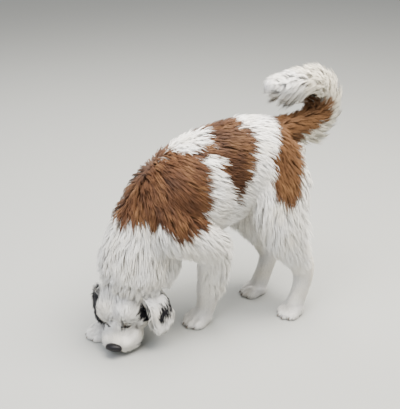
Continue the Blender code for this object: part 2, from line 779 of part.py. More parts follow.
def detail_face(head):
    """Cuts the line of the mouth, the openings between the lids and the seats of eyes and nose, and
    makes the eyes and the nose with its nostrils."""
    frame = head_frame()
    combine(head, mouth_groove(), "DIFFERENCE")
    for side, name in ((1.0, "eye_left"), (-1.0, "eye_right")):
        opening = ball((EYE_OPENING[0], 0, 0), EYE_OPENING, eye_frame(side))
        combine(head, mesh_object("opening", opening), "DIFFERENCE")
        eye = mesh_object(name, head_ball(EYE, frame, TIPS, side))
        combine(head, copy_of(eye, "socket", GAP), "DIFFERENCE")
    nose = mesh_object("nose", head_ball(NOSE, frame, TIPS))
    combine(head, copy_of(nose, "socket", GAP), "DIFFERENCE")
    for side in (LEFT, RIGHT):
        combine(nose, mesh_object("nostril", head_ball(NOSTRIL, frame, TIPS, side)), "DIFFERENCE")


def ear_form(side):
    """One ear, from its root down to its tip. It swings out over the cheek and then hangs plumb."""
    frame = head_frame()
    forward, left, up = EAR_ROOT
    root = frame @ Vector((forward, left * -side, up))
    outward = frame.to_3x3() @ Vector((0, -side, 0))
    outward.z = 0
    outward.normalize()
    back = frame.to_3x3() @ Vector((-1, 0, 0))
    back.z = 0
    back.normalize()
    broad = (outward * 0.6 + back * 0.8).normalized()
    swing = EAR_SWING[side]
    sections = []
    for index, width in enumerate(EAR_WIDTHS):
        share = index / (len(EAR_WIDTHS) - 1)
        out = swing * math.sin(math.pi / 2 * min(share * 1.8, 1.0))
        at = root + outward * out - Vector((0, 0, EAR_DROP[side] * share**1.15))
        sections.append(Section(tuple(at), width, EAR_THICK, 0.004))
    return loft(sections, across=broad, cup=EAR_CUP * side, sides=20)


def clear_scene():
    """Empties the scene."""
    for obj in list(bpy.data.objects):
        bpy.data.objects.remove(obj)


def leg_cutter(name):
    """A closed form that holds one whole leg from the shoulder or the thigh down."""
    sole, turn = PAWS[name]
    frame = Matrix.Translation(sole) @ Matrix.Rotation(turn, 4, "Z")
    forms = [loft(LEGS[name][1:], grow=LEG_MARGIN), ball((-0.012, 0, 0.02), (0.080, 0.062, 0.062), frame)]
    return fused("cutter", forms, CUTTER_VOXEL, 4, CUTTER_TRIANGLES)


def paint(obj, colour, roughness):
    """Gives the object its own material and smooth shading."""
    material = bpy.data.materials.new(obj.name)
    material.use_nodes = True
    shader = material.node_tree.nodes["Principled BSDF"]
    shader.inputs["Base Color"].default_value = (*colour, 1.0)
    shader.inputs["Roughness"].default_value = roughness
    shader.inputs["Metallic"].default_value = 0.0
    obj.data.materials.clear()
    obj.data.materials.append(material)
    obj.data.shade_smooth()


def main():
    """Builds the dog."""
    clear_scene()
    head = fused("head", head_forms(TIPS), HEAD_VOXEL, HEAD_SOFT, HEAD_TRIANGLES)
    body = flat_soles(fused("torso", body_forms(CORE), BODY_VOXEL, BODY_SOFT, BODY_TRIANGLES))
    ears = []
    for side, name in ((LEFT, "ear_left"), (RIGHT, "ear_right")):
        ear = fused(name, [ear_form(side)], EAR_VOXEL, 2, EAR_TRIANGLES)
        ears.append(combine(ear, copy_of(head, "cutter", GAP), "DIFFERENCE"))
    for name in LEGS:
        taken(body, name, leg_cutter(name))
    near_head = bpy.data.objects["foreleg_right"]
    combine(near_head, copy_of(head, "cutter", GAP), "DIFFERENCE")
    combine(ears[1], copy_of(near_head, "cutter", GAP), "DIFFERENCE")
    tail_cutter = fused("cutter", [loft(TAIL[1:], grow=LEG_MARGIN)], CUTTER_VOXEL, 4, CUTTER_TRIANGLES)
    tail = taken(body, "tail_root", tail_cutter)
    neck = part_at(body, "neck", NECK_CUT, NECK_CUT_WAY, 0.6)
    for other in [head, *ears]:
        combine(neck, copy_of(other, "cutter", GAP), "DIFFERENCE")
    part_at(tail, "tail_middle", *TAIL_CUTS[0])
    part_at(bpy.data.objects["tail_middle"], "tail_tip", *TAIL_CUTS[1])
    lay_coat(list(bpy.data.objects))
    detail_face(head)
    for obj in bpy.data.objects:
        obj.data.transform(Matrix.Translation(MODEL_SHIFT))
        colour, roughness = COLOURS.get(obj.name, WHITE_COAT)
        paint(obj, colour, roughness)


if __name__ == "__main__":
    main()
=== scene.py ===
"""Looks of a life-size Saint Bernard that walks slowly with its nose to the ground.

One skin stands for all the flesh. A coat of solid tufts lies on it and follows the lie of the hair, and
skin and coat carry the same markings. The eyes with their lids, the nose and the claws are pieces of
their own. All sizes are in metres; the dog faces -X and its left side faces -Y.
"""

from __future__ import annotations

import logging
import math
from collections.abc import Callable
from dataclasses import dataclass, field
from enum import Enum

import bmesh
import bpy
import numpy as np
from mathutils import Matrix, Vector
from mathutils.bvhtree import BVHTree
from mathutils.kdtree import KDTree


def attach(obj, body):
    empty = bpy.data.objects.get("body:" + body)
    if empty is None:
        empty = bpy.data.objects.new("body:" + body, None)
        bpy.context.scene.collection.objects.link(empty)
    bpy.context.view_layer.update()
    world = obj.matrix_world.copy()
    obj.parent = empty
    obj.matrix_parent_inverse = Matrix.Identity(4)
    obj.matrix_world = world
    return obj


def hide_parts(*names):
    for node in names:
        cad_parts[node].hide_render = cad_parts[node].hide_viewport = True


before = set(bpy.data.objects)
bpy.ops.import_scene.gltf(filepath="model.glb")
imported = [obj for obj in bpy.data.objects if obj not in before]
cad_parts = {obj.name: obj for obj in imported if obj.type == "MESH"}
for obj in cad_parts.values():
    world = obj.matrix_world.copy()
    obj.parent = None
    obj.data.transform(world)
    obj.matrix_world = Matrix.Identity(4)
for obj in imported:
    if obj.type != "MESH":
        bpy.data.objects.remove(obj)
log = logging.getLogger("saint_bernard")

# The body that every piece rides on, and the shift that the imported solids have
BODY = "root"
MODEL_SHIFT = Vector((-0.028, -0.028, 0.0))

# The head: its length, where its nose is, how far it drops, turns to the left and tilts
HEAD_LENGTH = 0.248
NOSE_TIP = Vector((-0.3816, -0.0463, 0.0280))
HEAD_DROP = math.radians(50.0)
HEAD_TURN = math.radians(43.0)
HEAD_TILT = math.radians(5.0)

# Fineness of the skin, and the part of a size that stays flesh however deep the coat is
BODY_VOXEL = 0.0046
HEAD_VOXEL = 0.0021
LEAST_FLESH = 0.40

# How far the coats of two limbs run into each other, and the lie of their hair
BLEND = 0.012
LIE_BLEND = 0.06

# How the light falls on a tuft: mostly as on the coat's own surface, and a little round each tuft
SOFT_TURN = 0.5
SIDE_TURN = 0.42

# How far neighbouring hairs swing together, in radians, and how far they wave, in lengths of the hair
SWING = 0.24
WAVE = 0.07

# Guide hairs: the least distance between them, how much it grows with the coat's depth, and how deep
# in the skin each one starts
GUIDE_SPACING = 0.0040
GUIDE_SPREAD = 0.24
ROOT_SUNK = 0.0012

# How far above the floor the soles and the lowest hair stay
SOLE_LIFT = 0.0004
HAIR_LIFT = 0.0012

# The most triangles of a coat piece, and the seed of every random draw
PIECE_TRIANGLES = 185000
SEED = 20

# The half-width and the height of a tuft's patch on the bake map
BAKE_HALF = 0.0014
BAKE_HIGH = 0.003

# How finely a limb's middle line is sampled to place the coat, and how many places are done at once
FINE_STEPS = 12
CHUNK = 20000

# The inside test: how far from a skin it gives up, how far it steps past a hit, and the most hits
FAR_FROM_SKIN = 0.10
RAY_STEP = 1e-5
MOST_HITS = 40


class Side(Enum):
    """The two sides of the dog, as signs along the head's own left."""

    LEFT = 1.0
    RIGHT = -1.0


class Slot(Enum):
    """Names of material slots."""

    WHITE = "white_coat"
    PATCHED = "brown_and_white_coat"
    EARS = "black_and_white_coat"
    NOSE = "nose_leather"
    EYE = "eye"
    CLAW = "claw"


@dataclass(frozen=True)
class Section:
    """A cross-section out to the coat's tips.

    Args:
        at: its middle.
        wide: half-size across the dog.
        deep: half-size the other way.
        coat: how deep the coat is there.
    """

    at: tuple[float, float, float]
    wide: float
    deep: float
    coat: float

    def row(self) -> np.ndarray:
        """Middle, half-sizes of the flesh and half-sizes at the tips, as one row of numbers."""
        flesh = [max(size - self.coat, size * LEAST_FLESH) for size in (self.wide, self.deep)]
        return np.array((*self.at, *flesh, self.wide, self.deep))


@dataclass(frozen=True)
class Form:
    """A rounded form of the head, forward, left and up in the head's own frame.

    Args:
        at: its middle.
        size: its half-sizes out to the coat's tips.
        coat: how deep the coat is there.
    """

    at: tuple[float, float, float]
    size: tuple[float, float, float]
    coat: float


def trunk_section(x: float, y: float, top: float, bottom: float, wide: float, coat: float) -> Section:
    """A cross-section of the trunk, from the height of the back and of the belly."""
    return Section((x, y, (top + bottom) / 2), wide, (top - bottom) / 2, coat)


TRUNK = (
    trunk_section(0.276, -0.012, 0.616, 0.500, 0.066, 0.026),
    trunk_section(0.240, -0.012, 0.658, 0.425, 0.104, 0.026),
    trunk_section(0.165, -0.010, 0.697, 0.398, 0.122, 0.024),
    trunk_section(0.060, -0.004, 0.697, 0.372, 0.124, 0.022),
    trunk_section(-0.045, 0.002, 0.672, 0.338, 0.136, 0.024),
    trunk_section(-0.135, 0.006, 0.626, 0.316, 0.140, 0.026),
    trunk_section(-0.205, 0.008, 0.566, 0.320, 0.124, 0.030),
    trunk_section(-0.255, 0.010, 0.500, 0.345, 0.098, 0.030),
)
NECK = (
    Section((-0.140, 0.008, 0.500), 0.118, 0.108, 0.030),
    Section((-0.202, 0.008, 0.432), 0.118, 0.120, 0.036),
    Section((-0.234, 0.010, 0.365), 0.114, 0.132, 0.042),
    Section((-0.246, 0.016, 0.300), 0.116, 0.140, 0.046),
    Section((-0.258, 0.026, 0.236), 0.116, 0.136, 0.048),
)
FORELEG_LEFT = (
    Section((-0.180, -0.070, 0.480), 0.050, 0.078, 0.020),
    Section((-0.160, -0.094, 0.420), 0.056, 0.084, 0.020),
    Section((-0.105, -0.098, 0.375), 0.054, 0.070, 0.020),
    Section((-0.054, -0.086, 0.325), 0.047, 0.056, 0.018),
    Section((-0.038, -0.070, 0.270), 0.041, 0.050, 0.016),
    Section((-0.028, -0.047, 0.190), 0.037, 0.045, 0.014),
    Section((-0.026, -0.028, 0.125), 0.034, 0.040, 0.008),
    Section((-0.026, -0.014, 0.070), 0.031, 0.034, 0.006),
    Section((-0.038, -0.008, 0.035), 0.030, 0.034, 0.005),
)
FORELEG_RIGHT = (
    Section((-0.140, 0.078, 0.470), 0.050, 0.074, 0.020),
    Section((-0.150, 0.114, 0.405), 0.054, 0.078, 0.020),
    Section((-0.142, 0.150, 0.348), 0.052, 0.068, 0.020),
    Section((-0.150, 0.173, 0.296), 0.045, 0.056, 0.018),
    Section((-0.178, 0.178, 0.238), 0.039, 0.049, 0.016),
    Section((-0.226, 0.169, 0.168), 0.035, 0.043, 0.014),
    Section((-0.274, 0.148, 0.110), 0.033, 0.037, 0.008),
    Section((-0.314, 0.121, 0.062), 0.031, 0.034, 0.006),
    Section((-0.338, 0.100, 0.035), 0.030, 0.034, 0.005),
)
HINDLEG_LEFT = (
    Section((0.180, -0.064, 0.560), 0.064, 0.115, 0.024),
    Section((0.192, -0.088, 0.480), 0.068, 0.120, 0.030),
    Section((0.192, -0.102, 0.400), 0.064, 0.100, 0.032),
    Section((0.212, -0.110, 0.325), 0.050, 0.072, 0.024),
    Section((0.246, -0.112, 0.250), 0.040, 0.052, 0.016),
    Section((0.283, -0.113, 0.192), 0.032, 0.042, 0.010),
    Section((0.293, -0.114, 0.145), 0.029, 0.037, 0.006),
    Section((0.282, -0.115, 0.090), 0.027, 0.032, 0.005),
    Section((0.262, -0.116, 0.040), 0.029, 0.034, 0.005),
)
HINDLEG_RIGHT = (
    Section((0.175, 0.046, 0.555), 0.064, 0.112, 0.024),
    Section((0.180, 0.066, 0.475), 0.066, 0.116, 0.030),
    Section((0.176, 0.080, 0.395), 0.062, 0.096, 0.032),
    Section((0.196, 0.084, 0.320), 0.049, 0.069, 0.024),
    Section((0.234, 0.080, 0.245), 0.038, 0.048, 0.016),
    Section((0.270, 0.074, 0.186), 0.032, 0.042, 0.010),
    Section((0.278, 0.070, 0.143), 0.029, 0.037, 0.006),
    Section((0.262, 0.067, 0.090), 0.027, 0.032, 0.005),
    Section((0.238, 0.064, 0.040), 0.029, 0.034, 0.005),
)
TAIL = (
    Section((0.205, -0.012, 0.625), 0.045, 0.042, 0.020),
    Section((0.268, -0.014, 0.640), 0.042, 0.044, 0.020),
    Section((0.328, -0.016, 0.640), 0.042, 0.060, 0.028),
    Section((0.386, -0.018, 0.658), 0.048, 0.076, 0.046),
    Section((0.404, -0.020, 0.722), 0.054, 0.070, 0.050),
    Section((0.368, -0.020, 0.770), 0.054, 0.060, 0.044),
    Section((0.300, -0.018, 0.782), 0.048, 0.046, 0.036),
    Section((0.205, -0.014, 0.788), 0.030, 0.026, 0.020),
)

# The middle of each sole, where the toes point, and the size of the paw
PAWS = (
    (Vector((-0.046, -0.002, 0.0)), math.radians(4.0), 1.0),
    (Vector((-0.354, 0.088, 0.0)), math.radians(-14.0), 1.0),
    (Vector((0.254, -0.114, 0.0)), math.radians(4.0), 0.92),
    (Vector((0.219, 0.063, 0.0)), math.radians(-14.0), 0.92),
)
TOES = ((-0.031, 0.010), (-0.011, 0.026), (0.011, 0.026), (0.031, 0.010))

# The head's forms on its middle line, and those that come in pairs
HEAD_MIDDLE = (
    Form((0.078, 0.0, 0.008), (0.086, 0.078, 0.070), 0.010),
    Form((0.040, 0.0, -0.040), (0.070, 0.066, 0.062), 0.014),
    Form((0.150, 0.0, -0.010), (0.050, 0.050, 0.046), 0.005),
)
HEAD_PAIRS = (
    Form((0.122, 0.024, 0.026), (0.044, 0.044, 0.044), 0.006),
    Form((0.138, 0.038, 0.026), (0.018, 0.024, 0.016), 0.005),
    Form((0.108, 0.050, -0.026), (0.060, 0.036, 0.050), 0.008),
    Form((0.188, 0.040, -0.044), (0.044, 0.029, 0.034), 0.006),
    Form((0.216, 0.024, -0.022), (0.030, 0.031, 0.033), 0.005),
)
MUZZLE = (
    Section((0.130, 0.0, -0.022), 0.054, 0.050, 0.005),
    Section((0.165, 0.0, -0.024), 0.050, 0.045, 0.005),
    Section((0.195, 0.0, -0.022), 0.048, 0.040, 0.005),
    Section((0.216, 0.0, -0.016), 0.042, 0.032, 0.005),
)
JAW = (
    Section((0.080, 0.0, -0.072), 0.040, 0.028, 0.010),
    Section((0.140, 0.0, -0.074), 0.036, 0.020, 0.006),
    Section((0.184, 0.0, -0.064), 0.028, 0.015, 0.005),
)

# The head as one run of cross-sections, from the nape to the nose, for the lie of its coat
SKULL = (
    Section((-0.020, 0.0, -0.020), 0.066, 0.064, 0.020),
    Section((0.060, 0.0, -0.006), 0.080, 0.080, 0.016),
    Section((0.120, 0.0, -0.014), 0.084, 0.072, 0.011),
    Section((0.170, 0.0, -0.030), 0.068, 0.052, 0.007),
    Section((0.236, 0.0, -0.020), 0.040, 0.036, 0.005),
)
NOSE = Form((0.239, 0.0, -0.001), (0.015, 0.026, 0.021), 0.0)
EYE = Form((0.158, 0.030, 0.009), (0.013, 0.013, 0.013), 0.0)
EYE_WAY = Vector((0.74, 0.66, 0.52))
EYE_ROLL = math.radians(-20.0)

# The seat of an eye in the skin, and the place without tufts round it, as half-sizes across and up, with
# how far the second is shifted down. The part of the ball that shows is cut off at EYE_FLAT.
EYE_SEAT = (0.0185, 0.0125)
EYE_BARE = (0.0185, 0.0120)
EYE_BARE_DROP = 0.0035
EYE_FLAT = 0.0065
MOUTH = (
    (0.232, 0.000, -0.050),
    (0.230, 0.030, -0.054),
    (0.214, 0.060, -0.056),
    (0.192, 0.068, -0.066),
    (0.155, 0.062, -0.074),
    (0.120, 0.060, -0.062),
)

# The ears hang from the top corners of the skull
EAR_ROOT = (0.058, 0.072, 0.034)
EAR_DROP = {Side.LEFT: 0.122, Side.RIGHT: 0.120}
EAR_SWING = {Side.LEFT: 0.058, Side.RIGHT: 0.006}
EAR_WIDTHS = (0.026, 0.036, 0.042, 0.045, 0.044, 0.035, 0.018)
EAR_THICK = 0.0085
EAR_CUP = 0.012


def linear(code: str) -> tuple[float, float, float]:
    """The linear colour of an sRGB hex code.

    Args:
        code: six hex digits.

    Returns:
        Linear red, green and blue.
    """
    parts = [int(code[k : k + 2], 16) / 255 for k in (0, 2, 4)]
    return tuple(p / 12.92 if p <= 0.04045 else ((p + 0.055) / 1.055) ** 2.4 for p in parts)


def head_frame() -> Matrix:
    """The matrix that takes a place in the head's own frame to the dog's."""
    heading = Vector((-math.cos(HEAD_TURN), -math.sin(HEAD_TURN), 0.0))
    forward = heading * math.cos(HEAD_DROP) - Vector((0.0, 0.0, math.sin(HEAD_DROP)))
    level = Vector((math.sin(HEAD_TURN), -math.cos(HEAD_TURN), 0.0))
    left = Matrix.Rotation(HEAD_TILT, 3, forward) @ level
    up = forward.cross(left)
    matrix = Matrix((forward, left, up)).transposed().to_4x4()
    matrix.translation = NOSE_TIP - forward * HEAD_LENGTH
    return matrix


def eye_frame(side: Side) -> Matrix:
    """The matrix of one eye, with its first axis the way the eye looks out.

    Args:
        side: the eye's side.

    Returns:
        The matrix that takes a place in the eye's frame to the dog's.
    """
    forward, left, up = EYE.at
    way = Vector((EYE_WAY.x, EYE_WAY.y * side.value, EYE_WAY.z)).normalized()
    across = Vector((0, 0, 1)).cross(way).normalized()
    turn = Matrix((way, across, way.cross(across))).transposed().to_4x4()
    roll = Matrix.Rotation(EYE_ROLL * side.value, 4, "X")
    return head_frame() @ Matrix.Translation((forward, left * side.value, up)) @ turn @ roll


def spline(points: np.ndarray, share: float) -> np.ndarray:
    """A point of the smooth curve through rows of numbers.

    Args:
        points: one row a point.
        share: the place along the curve, counted in whole points.

    Returns:
        The row there.
    """
    last = len(points) - 1
    first = min(int(share), last - 1)
    t = share - first
    a, b, c, d = (points[min(max(first + k, 0), last)] for k in (-1, 0, 1, 2))
    if first == 0:
        a = 2 * points[0] - points[1]
    if first == last - 1:
        d = 2 * points[last] - points[last - 1]
    return 0.5 * (2 * b + (c - a) * t + (2 * a - 5 * b + 4 * c - d) * t**2 + (3 * b - 3 * c + d - a) * t**3)


def smooth_step(values: np.ndarray, low: float, high: float) -> np.ndarray:
    """Rises smoothly from 0 at low to 1 at high."""
    t = np.clip((values - low) / (high - low), 0.0, 1.0)
    return t * t * (3 - 2 * t)


def unit(vectors: np.ndarray) -> np.ndarray:
    """The vectors, each of length 1."""
    return vectors / np.maximum(np.linalg.norm(vectors, axis=-1, keepdims=True), 1e-9)


def read_corners(mesh: bpy.types.Mesh, what: str = "co") -> np.ndarray:
    """Reads three numbers for each corner of a mesh.

    Args:
        mesh: the mesh.
        what: "co" for the places, or "normal" for the ways out.

    Returns:
        One row a corner.
    """
    rows = np.empty(len(mesh.vertices) * 3)
    mesh.vertices.foreach_get(what, rows)
    return rows.reshape(-1, 3)


def seen_from(matrix: Matrix, points: np.ndarray) -> np.ndarray:
    """Takes places into a frame's own axes.

    Args:
        matrix: the frame.
        points: places on the dog, one row each.

    Returns:
        The same places along the frame's axes.
    """
    own = np.array(matrix.inverted())
    return points @ own[:3, :3].T + own[:3, 3]


def paw_frames() -> list[Matrix]:
    """The frame of each paw, on the middle of its sole and with the paw's own turn and size."""
    return [
        Matrix.Translation(at) @ Matrix.Rotation(turn, 4, "Z") @ Matrix.Scale(size, 4)
        for at, turn, size in PAWS
    ]


@dataclass(frozen=True)
class Ripple:
    """A smooth random number of a place, as a sum of waves.

    Args:
        size: the usual distance between crests.
        seed: the seed of its waves.
    """

    size: float
    seed: int

    def at(self, points: np.ndarray) -> np.ndarray:
        """Its value at each place.

        Args:
            points: the places, one row each.

        Returns:
            Numbers mostly between -1 and 1.
        """
        draw = np.random.default_rng(self.seed)
        ways = unit(draw.normal(size=(9, 3))) * draw.uniform(0.6, 1.7, (9, 1)) * 2 * math.pi / self.size
        phases = draw.uniform(0, 2 * math.pi, 9)
        return np.sin(points @ ways.T + phases).sum(axis=1) / 3.2


@dataclass
class Limb:
    """One length of the dog, lofted through its cross-sections, and how its coat lies.

    Args:
        name: what it is called.
        sections: its cross-sections.
        flow: how much the coat lies towards the last section, at one or more shares of the limb.
        part: how far the coat falls to both sides of a parting along the top.
        parting: where that parting runs, as a share of the width from the middle line to the right.
        hang: how much of the lie is straight down.
        stand: how far the hair's tips stand out, in depths of the coat.
        length: the length of the hair, in depths of the coat.
        shortest: the least length that it has.
        clump: how far the tufts draw together at their tips.
        across: the way of its width.
        fringes: long hair on one side: its first and last section, how much deeper it is there, and the
            middle of it as an angle round the limb, with 90 degrees behind a leg.
        droop: how far the hair's own weight pulls its tips down, in lengths of the hair.
        short_end: how much shorter the hair gets at the last end.
        cup: how far each flat cross-section bends into a hollow.
        flat_end: how far its last end is rounded out.
    """

    name: str
    sections: tuple[Section, ...]
    flow: tuple[float, ...] = (1.0,)
    part: float = 0.0
    parting: float = 0.0
    hang: float = 0.2
    stand: float = 1.0
    length: float = 2.3
    shortest: float = 0.013
    clump: float = 0.7
    across: Vector = field(default_factory=lambda: Vector((0, 1, 0)))
    fringes: tuple[tuple[float, float, float, float], ...] = ()
    droop: float = 0.16
    short_end: float = 0.0
    cup: float = 0.0
    flat_end: float = 1.0

    def line(self, steps: int) -> tuple[np.ndarray, np.ndarray, np.ndarray, np.ndarray]:
        """The middle line, with its own axes.

        Args:
            steps: how many samples lie between two sections.

        Returns:
            Rows of middle and sizes, then the ways along, sideways and up at each.
        """
        rows = [section.row() for section in self.sections]
        shares = np.linspace(0, len(rows) - 1, (len(rows) - 1) * steps + 1)
        line = np.array([spline(rows, share) for share in shares])
        ahead = np.vstack((line[1:, :3], line[-1:, :3]))
        behind = np.vstack((line[:1, :3], line[:-1, :3]))
        along = unit(ahead - behind)
        across = np.array(self.across)
        side = unit(across - (along @ across)[:, None] * along)
        return line, along, side, np.cross(along, side)

    def loft(self, steps: int = 5, sides: int = 32) -> bmesh.types.BMesh:
        """Lofts the flesh of the limb.

        Args:
            steps: how many samples lie between two sections.
            sides: how many sides the tube has.

        Returns:
            A closed tube with round ends.
        """
        line, along, side, up = self.line(steps)
        turns = np.linspace(0, 2 * math.pi, sides, endpoint=False)
        bm = bmesh.new()
        rings = []
        for index, row in enumerate(line):
            ends = [(0.0, 1.0)]
            if index in (0, len(line) - 1):
                ends = [(math.sin(math.radians(a)), math.cos(math.radians(a))) for a in (0, 26, 52, 76)]
            if index == 0:
                ends = [(-out, scale) for out, scale in reversed(ends)]
            elif index == len(line) - 1:
                ends = [(out * self.flat_end, scale) for out, scale in ends]
            for out, scale in ends:
                middle = row[:3] + along[index] * out * min(row[3], row[4])
                wide = np.cos(turns) * scale
                deep = np.sin(turns) * row[4] * scale - self.cup * wide * wide
                places = middle + side[index] * (wide * row[3])[:, None] + up[index] * deep[:, None]
                rings.append([bm.verts.new(place) for place in places])
        for ring, after in zip(rings, rings[1:]):
            for k in range(sides):
                n = (k + 1) % sides
                bm.faces.new((ring[k], ring[n], after[n], after[k]))
        bm.faces.new(list(reversed(rings[0])))
        bm.faces.new(rings[-1])
        return bm

    def near(self, points: np.ndarray) -> dict[str, np.ndarray]:
        """Where points lie on this limb, and what its coat is like there.

        Args:
            points: places, one row each.

        Returns:
            Arrays by name: how far outside the flesh they are, share, angle, depth, lie and the rest.
        """
        line, along, side, up = self.line(FINE_STEPS)
        best = np.empty(len(points), int)
        for start in range(0, len(points), CHUNK):
            chunk = points[start : start + CHUNK]
            spans = ((chunk[:, None, :] - line[None, :, :3]) ** 2).sum(axis=2)
            best[start : start + CHUNK] = (spans / (line[None, :, 5] * line[None, :, 6])).argmin(axis=1)
        offset = points - line[best, :3]
        x = (offset * side[best]).sum(axis=1) / line[best, 5]
        y = (offset * up[best]).sum(axis=1) / line[best, 6]
        beyond = (offset * along[best]).sum(axis=1) / np.minimum(line[best, 3], line[best, 4])
        share = best / float(FINE_STEPS)
        inner = (x * line[best, 5] / line[best, 3], y * line[best, 6] / line[best, 4], beyond / self.flat_end)
        inner = np.stack(inner)
        gap = np.linalg.norm(offset, axis=1) * (1 - 1 / np.maximum(np.linalg.norm(inner, axis=0), 0.05))
        radius = np.maximum(np.hypot(x, y), 1e-6)
        wide = (x / radius) ** 2
        depth = wide * (line[best, 5] - line[best, 3]) + (1 - wide) * (line[best, 6] - line[best, 4])
        angle = np.arctan2(y, x)
        for first, last, gain, turn in self.fringes:
            band = smooth_step(share, first - 0.4, first + 0.4)
            band = band * (1 - smooth_step(share, last - 0.4, last + 0.4))
            depth = depth * (1 + gain * band * np.clip(np.cos(angle - math.radians(turn)), 0, 1) ** 2)
        ratio = share / (len(self.sections) - 1)
        shorter = 1 - self.short_end * smooth_step(ratio, 0.55, 0.90)
        if self.flat_end < 1:
            depth = depth * (1 - 0.85 * smooth_step(beyond, 0.0, 0.30) * (ratio > 0.5))
        spread = 1 + 0.8 * depth / np.minimum(line[best, 3], line[best, 4])
        flow = np.interp(ratio, np.linspace(0, 1, len(self.flow)), self.flow)
        falls = self.part * np.tanh((x / radius - self.parting) / 0.15) * np.clip(-y / radius, 0, 1)
        lie = along[best] * flow[:, None] + side[best] * falls[:, None] + np.array((0, 0, -self.hang))
        return {
            "gap": gap,
            "close": np.sqrt(x * x + y * y + 0.1 * beyond * beyond),
            "share": ratio,
            "angle": angle,
            "depth": depth,
            "lie": unit(lie),
            "droop": np.full(len(points), self.droop),
            "spread": np.minimum(spread, 2.2),
            "length": np.maximum(depth * self.length, self.shortest) * shorter,
            "clump": np.full(len(points), self.clump),
            "stand": np.full(len(points), self.stand),
        }


def ear_limb(side: Side) -> Limb:
    """One ear, which swings out over the cheek and then hangs plumb.

    Args:
        side: the ear's side.

    Returns:
        The ear.
    """
    head = head_frame()
    forward, left, up = EAR_ROOT
    root = head @ Vector((forward, left * side.value, up))
    outward = head.to_3x3() @ Vector((0, side.value, 0))
    outward.z = 0
    outward.normalize()
    back = head.to_3x3() @ Vector((-1, 0, 0))
    back.z = 0
    back.normalize()
    sections = []
    for index, width in enumerate(EAR_WIDTHS):
        share = index / (len(EAR_WIDTHS) - 1)
        out = EAR_SWING[side] * math.sin(math.pi / 2 * min(share * 1.8, 1.0))
        at = root + outward * out - Vector((0, 0, EAR_DROP[side] * share**1.15))
        sections.append(Section(tuple(at), width, EAR_THICK, 0.0045))
    return Limb(
        "ear_" + side.name.lower(),
        tuple(sections),
        across=(outward * 0.6 + back * 0.8).normalized(),
        cup=-EAR_CUP * side.value,
        hang=0.3,
        stand=3.0,
        length=7.0,
        clump=0.45,
    )


def skull_limb() -> Limb:
    """The head as one limb, for the lie of its coat alone."""
    head = head_frame()
    sections = tuple(Section(tuple(head @ Vector(s.at)), s.wide, s.deep, s.coat) for s in SKULL)
    across = head.to_3x3() @ Vector((0, 1, 0))
    return Limb(
        "head", sections, flow=(-1.0,), hang=0.15, stand=1.2, length=2.2, shortest=0.009, clump=0.3,
        across=across,
    )


@dataclass
class Hide:
    """A closed skin of triangles with all that the coat has to know at each of its corners.

    Args:
        points: the corners.
        normals: the way out at each.
        triangles: three corners each.
        limbs: the names of the limbs that it has.
        owner: which limb each corner belongs to most.
        values: the limbs' blended numbers by name.
    """

    points: np.ndarray
    normals: np.ndarray
    triangles: np.ndarray
    limbs: list[str]
    owner: np.ndarray
    values: dict[str, np.ndarray]

    @classmethod
    def read(cls, obj: bpy.types.Object, limbs: list[Limb]) -> Hide:
        """Reads an object's mesh and blends the limbs' numbers over it.

        Args:
            obj: the skin, which is made of triangles.
            limbs: the limbs that it was fused from.

        Returns:
            The hide.
        """
        points, normals = read_corners(obj.data), read_corners(obj.data, "normal")
        corners = np.empty(len(obj.data.polygons) * 3, int)
        obj.data.polygons.foreach_get("vertices", corners)
        near = [limb.near(points) for limb in limbs]
        found = {name: np.array([each[name] for each in near]) for name in near[0]}
        gap, close = found["gap"], found["close"]
        weights = np.exp((gap.min(axis=0) - gap) / BLEND)
        weights /= weights.sum(axis=0)
        owner = gap.argmin(axis=0)
        every = np.arange(len(points))
        blended = ("depth", "length", "clump", "stand", "droop", "spread")
        values = {name: (weights * found[name]).sum(axis=0) for name in blended}
        values |= {name: found[name][owner, every] for name in ("share", "angle")}
        weights = np.exp(9.0 * (close.min(axis=0) - close) + (gap.min(axis=0) - gap) / LIE_BLEND)
        lie = (weights[:, :, None] * found["lie"]).sum(axis=0)
        lie = lie + 0.12 * np.array((0, 0, -1.0))
        lie -= (lie * normals).sum(axis=1, keepdims=True) * normals
        values["lie"] = unit(lie)
        return cls(points, normals, corners.reshape(-1, 3), [limb.name for limb in limbs], owner, values)

    def tree(self) -> BVHTree:
        """A search tree of its surface."""
        return BVHTree.FromPolygons(self.points.tolist(), self.triangles.tolist())


class Polygon:
    """A closed outline on the dog's side, in X and Z.

    Args:
        corners: its corners in order.
    """

    def __init__(self, corners: tuple[tuple[float, float], ...]) -> None:
        """Keeps the corners as rows."""
        self.corners = np.array(corners)

    def depth_of(self, places: np.ndarray) -> np.ndarray:
        """How far inside the outline places lie.

        Args:
            places: X and Z of each.

        Returns:
            The distance to the outline, less than 0 outside.
        """
        nearest = np.full(len(places), 1e9)
        inside = np.zeros(len(places), bool)
        x, z = places[:, 0], places[:, 1]
        for a, b in zip(self.corners, np.roll(self.corners, -1, axis=0)):
            edge = b - a
            t = np.clip(((places - a) @ edge) / (edge @ edge), 0, 1)
            nearest = np.minimum(nearest, np.hypot(*(places - a - t[:, None] * edge).T))
            crosses = (a[1] > z) != (b[1] > z)
            rise = b[1] - a[1] if b[1] != a[1] else 1e-12
            inside ^= crosses & (x < a[0] + (z - a[1]) / rise * edge[0])
        return np.where(inside, nearest, -nearest)


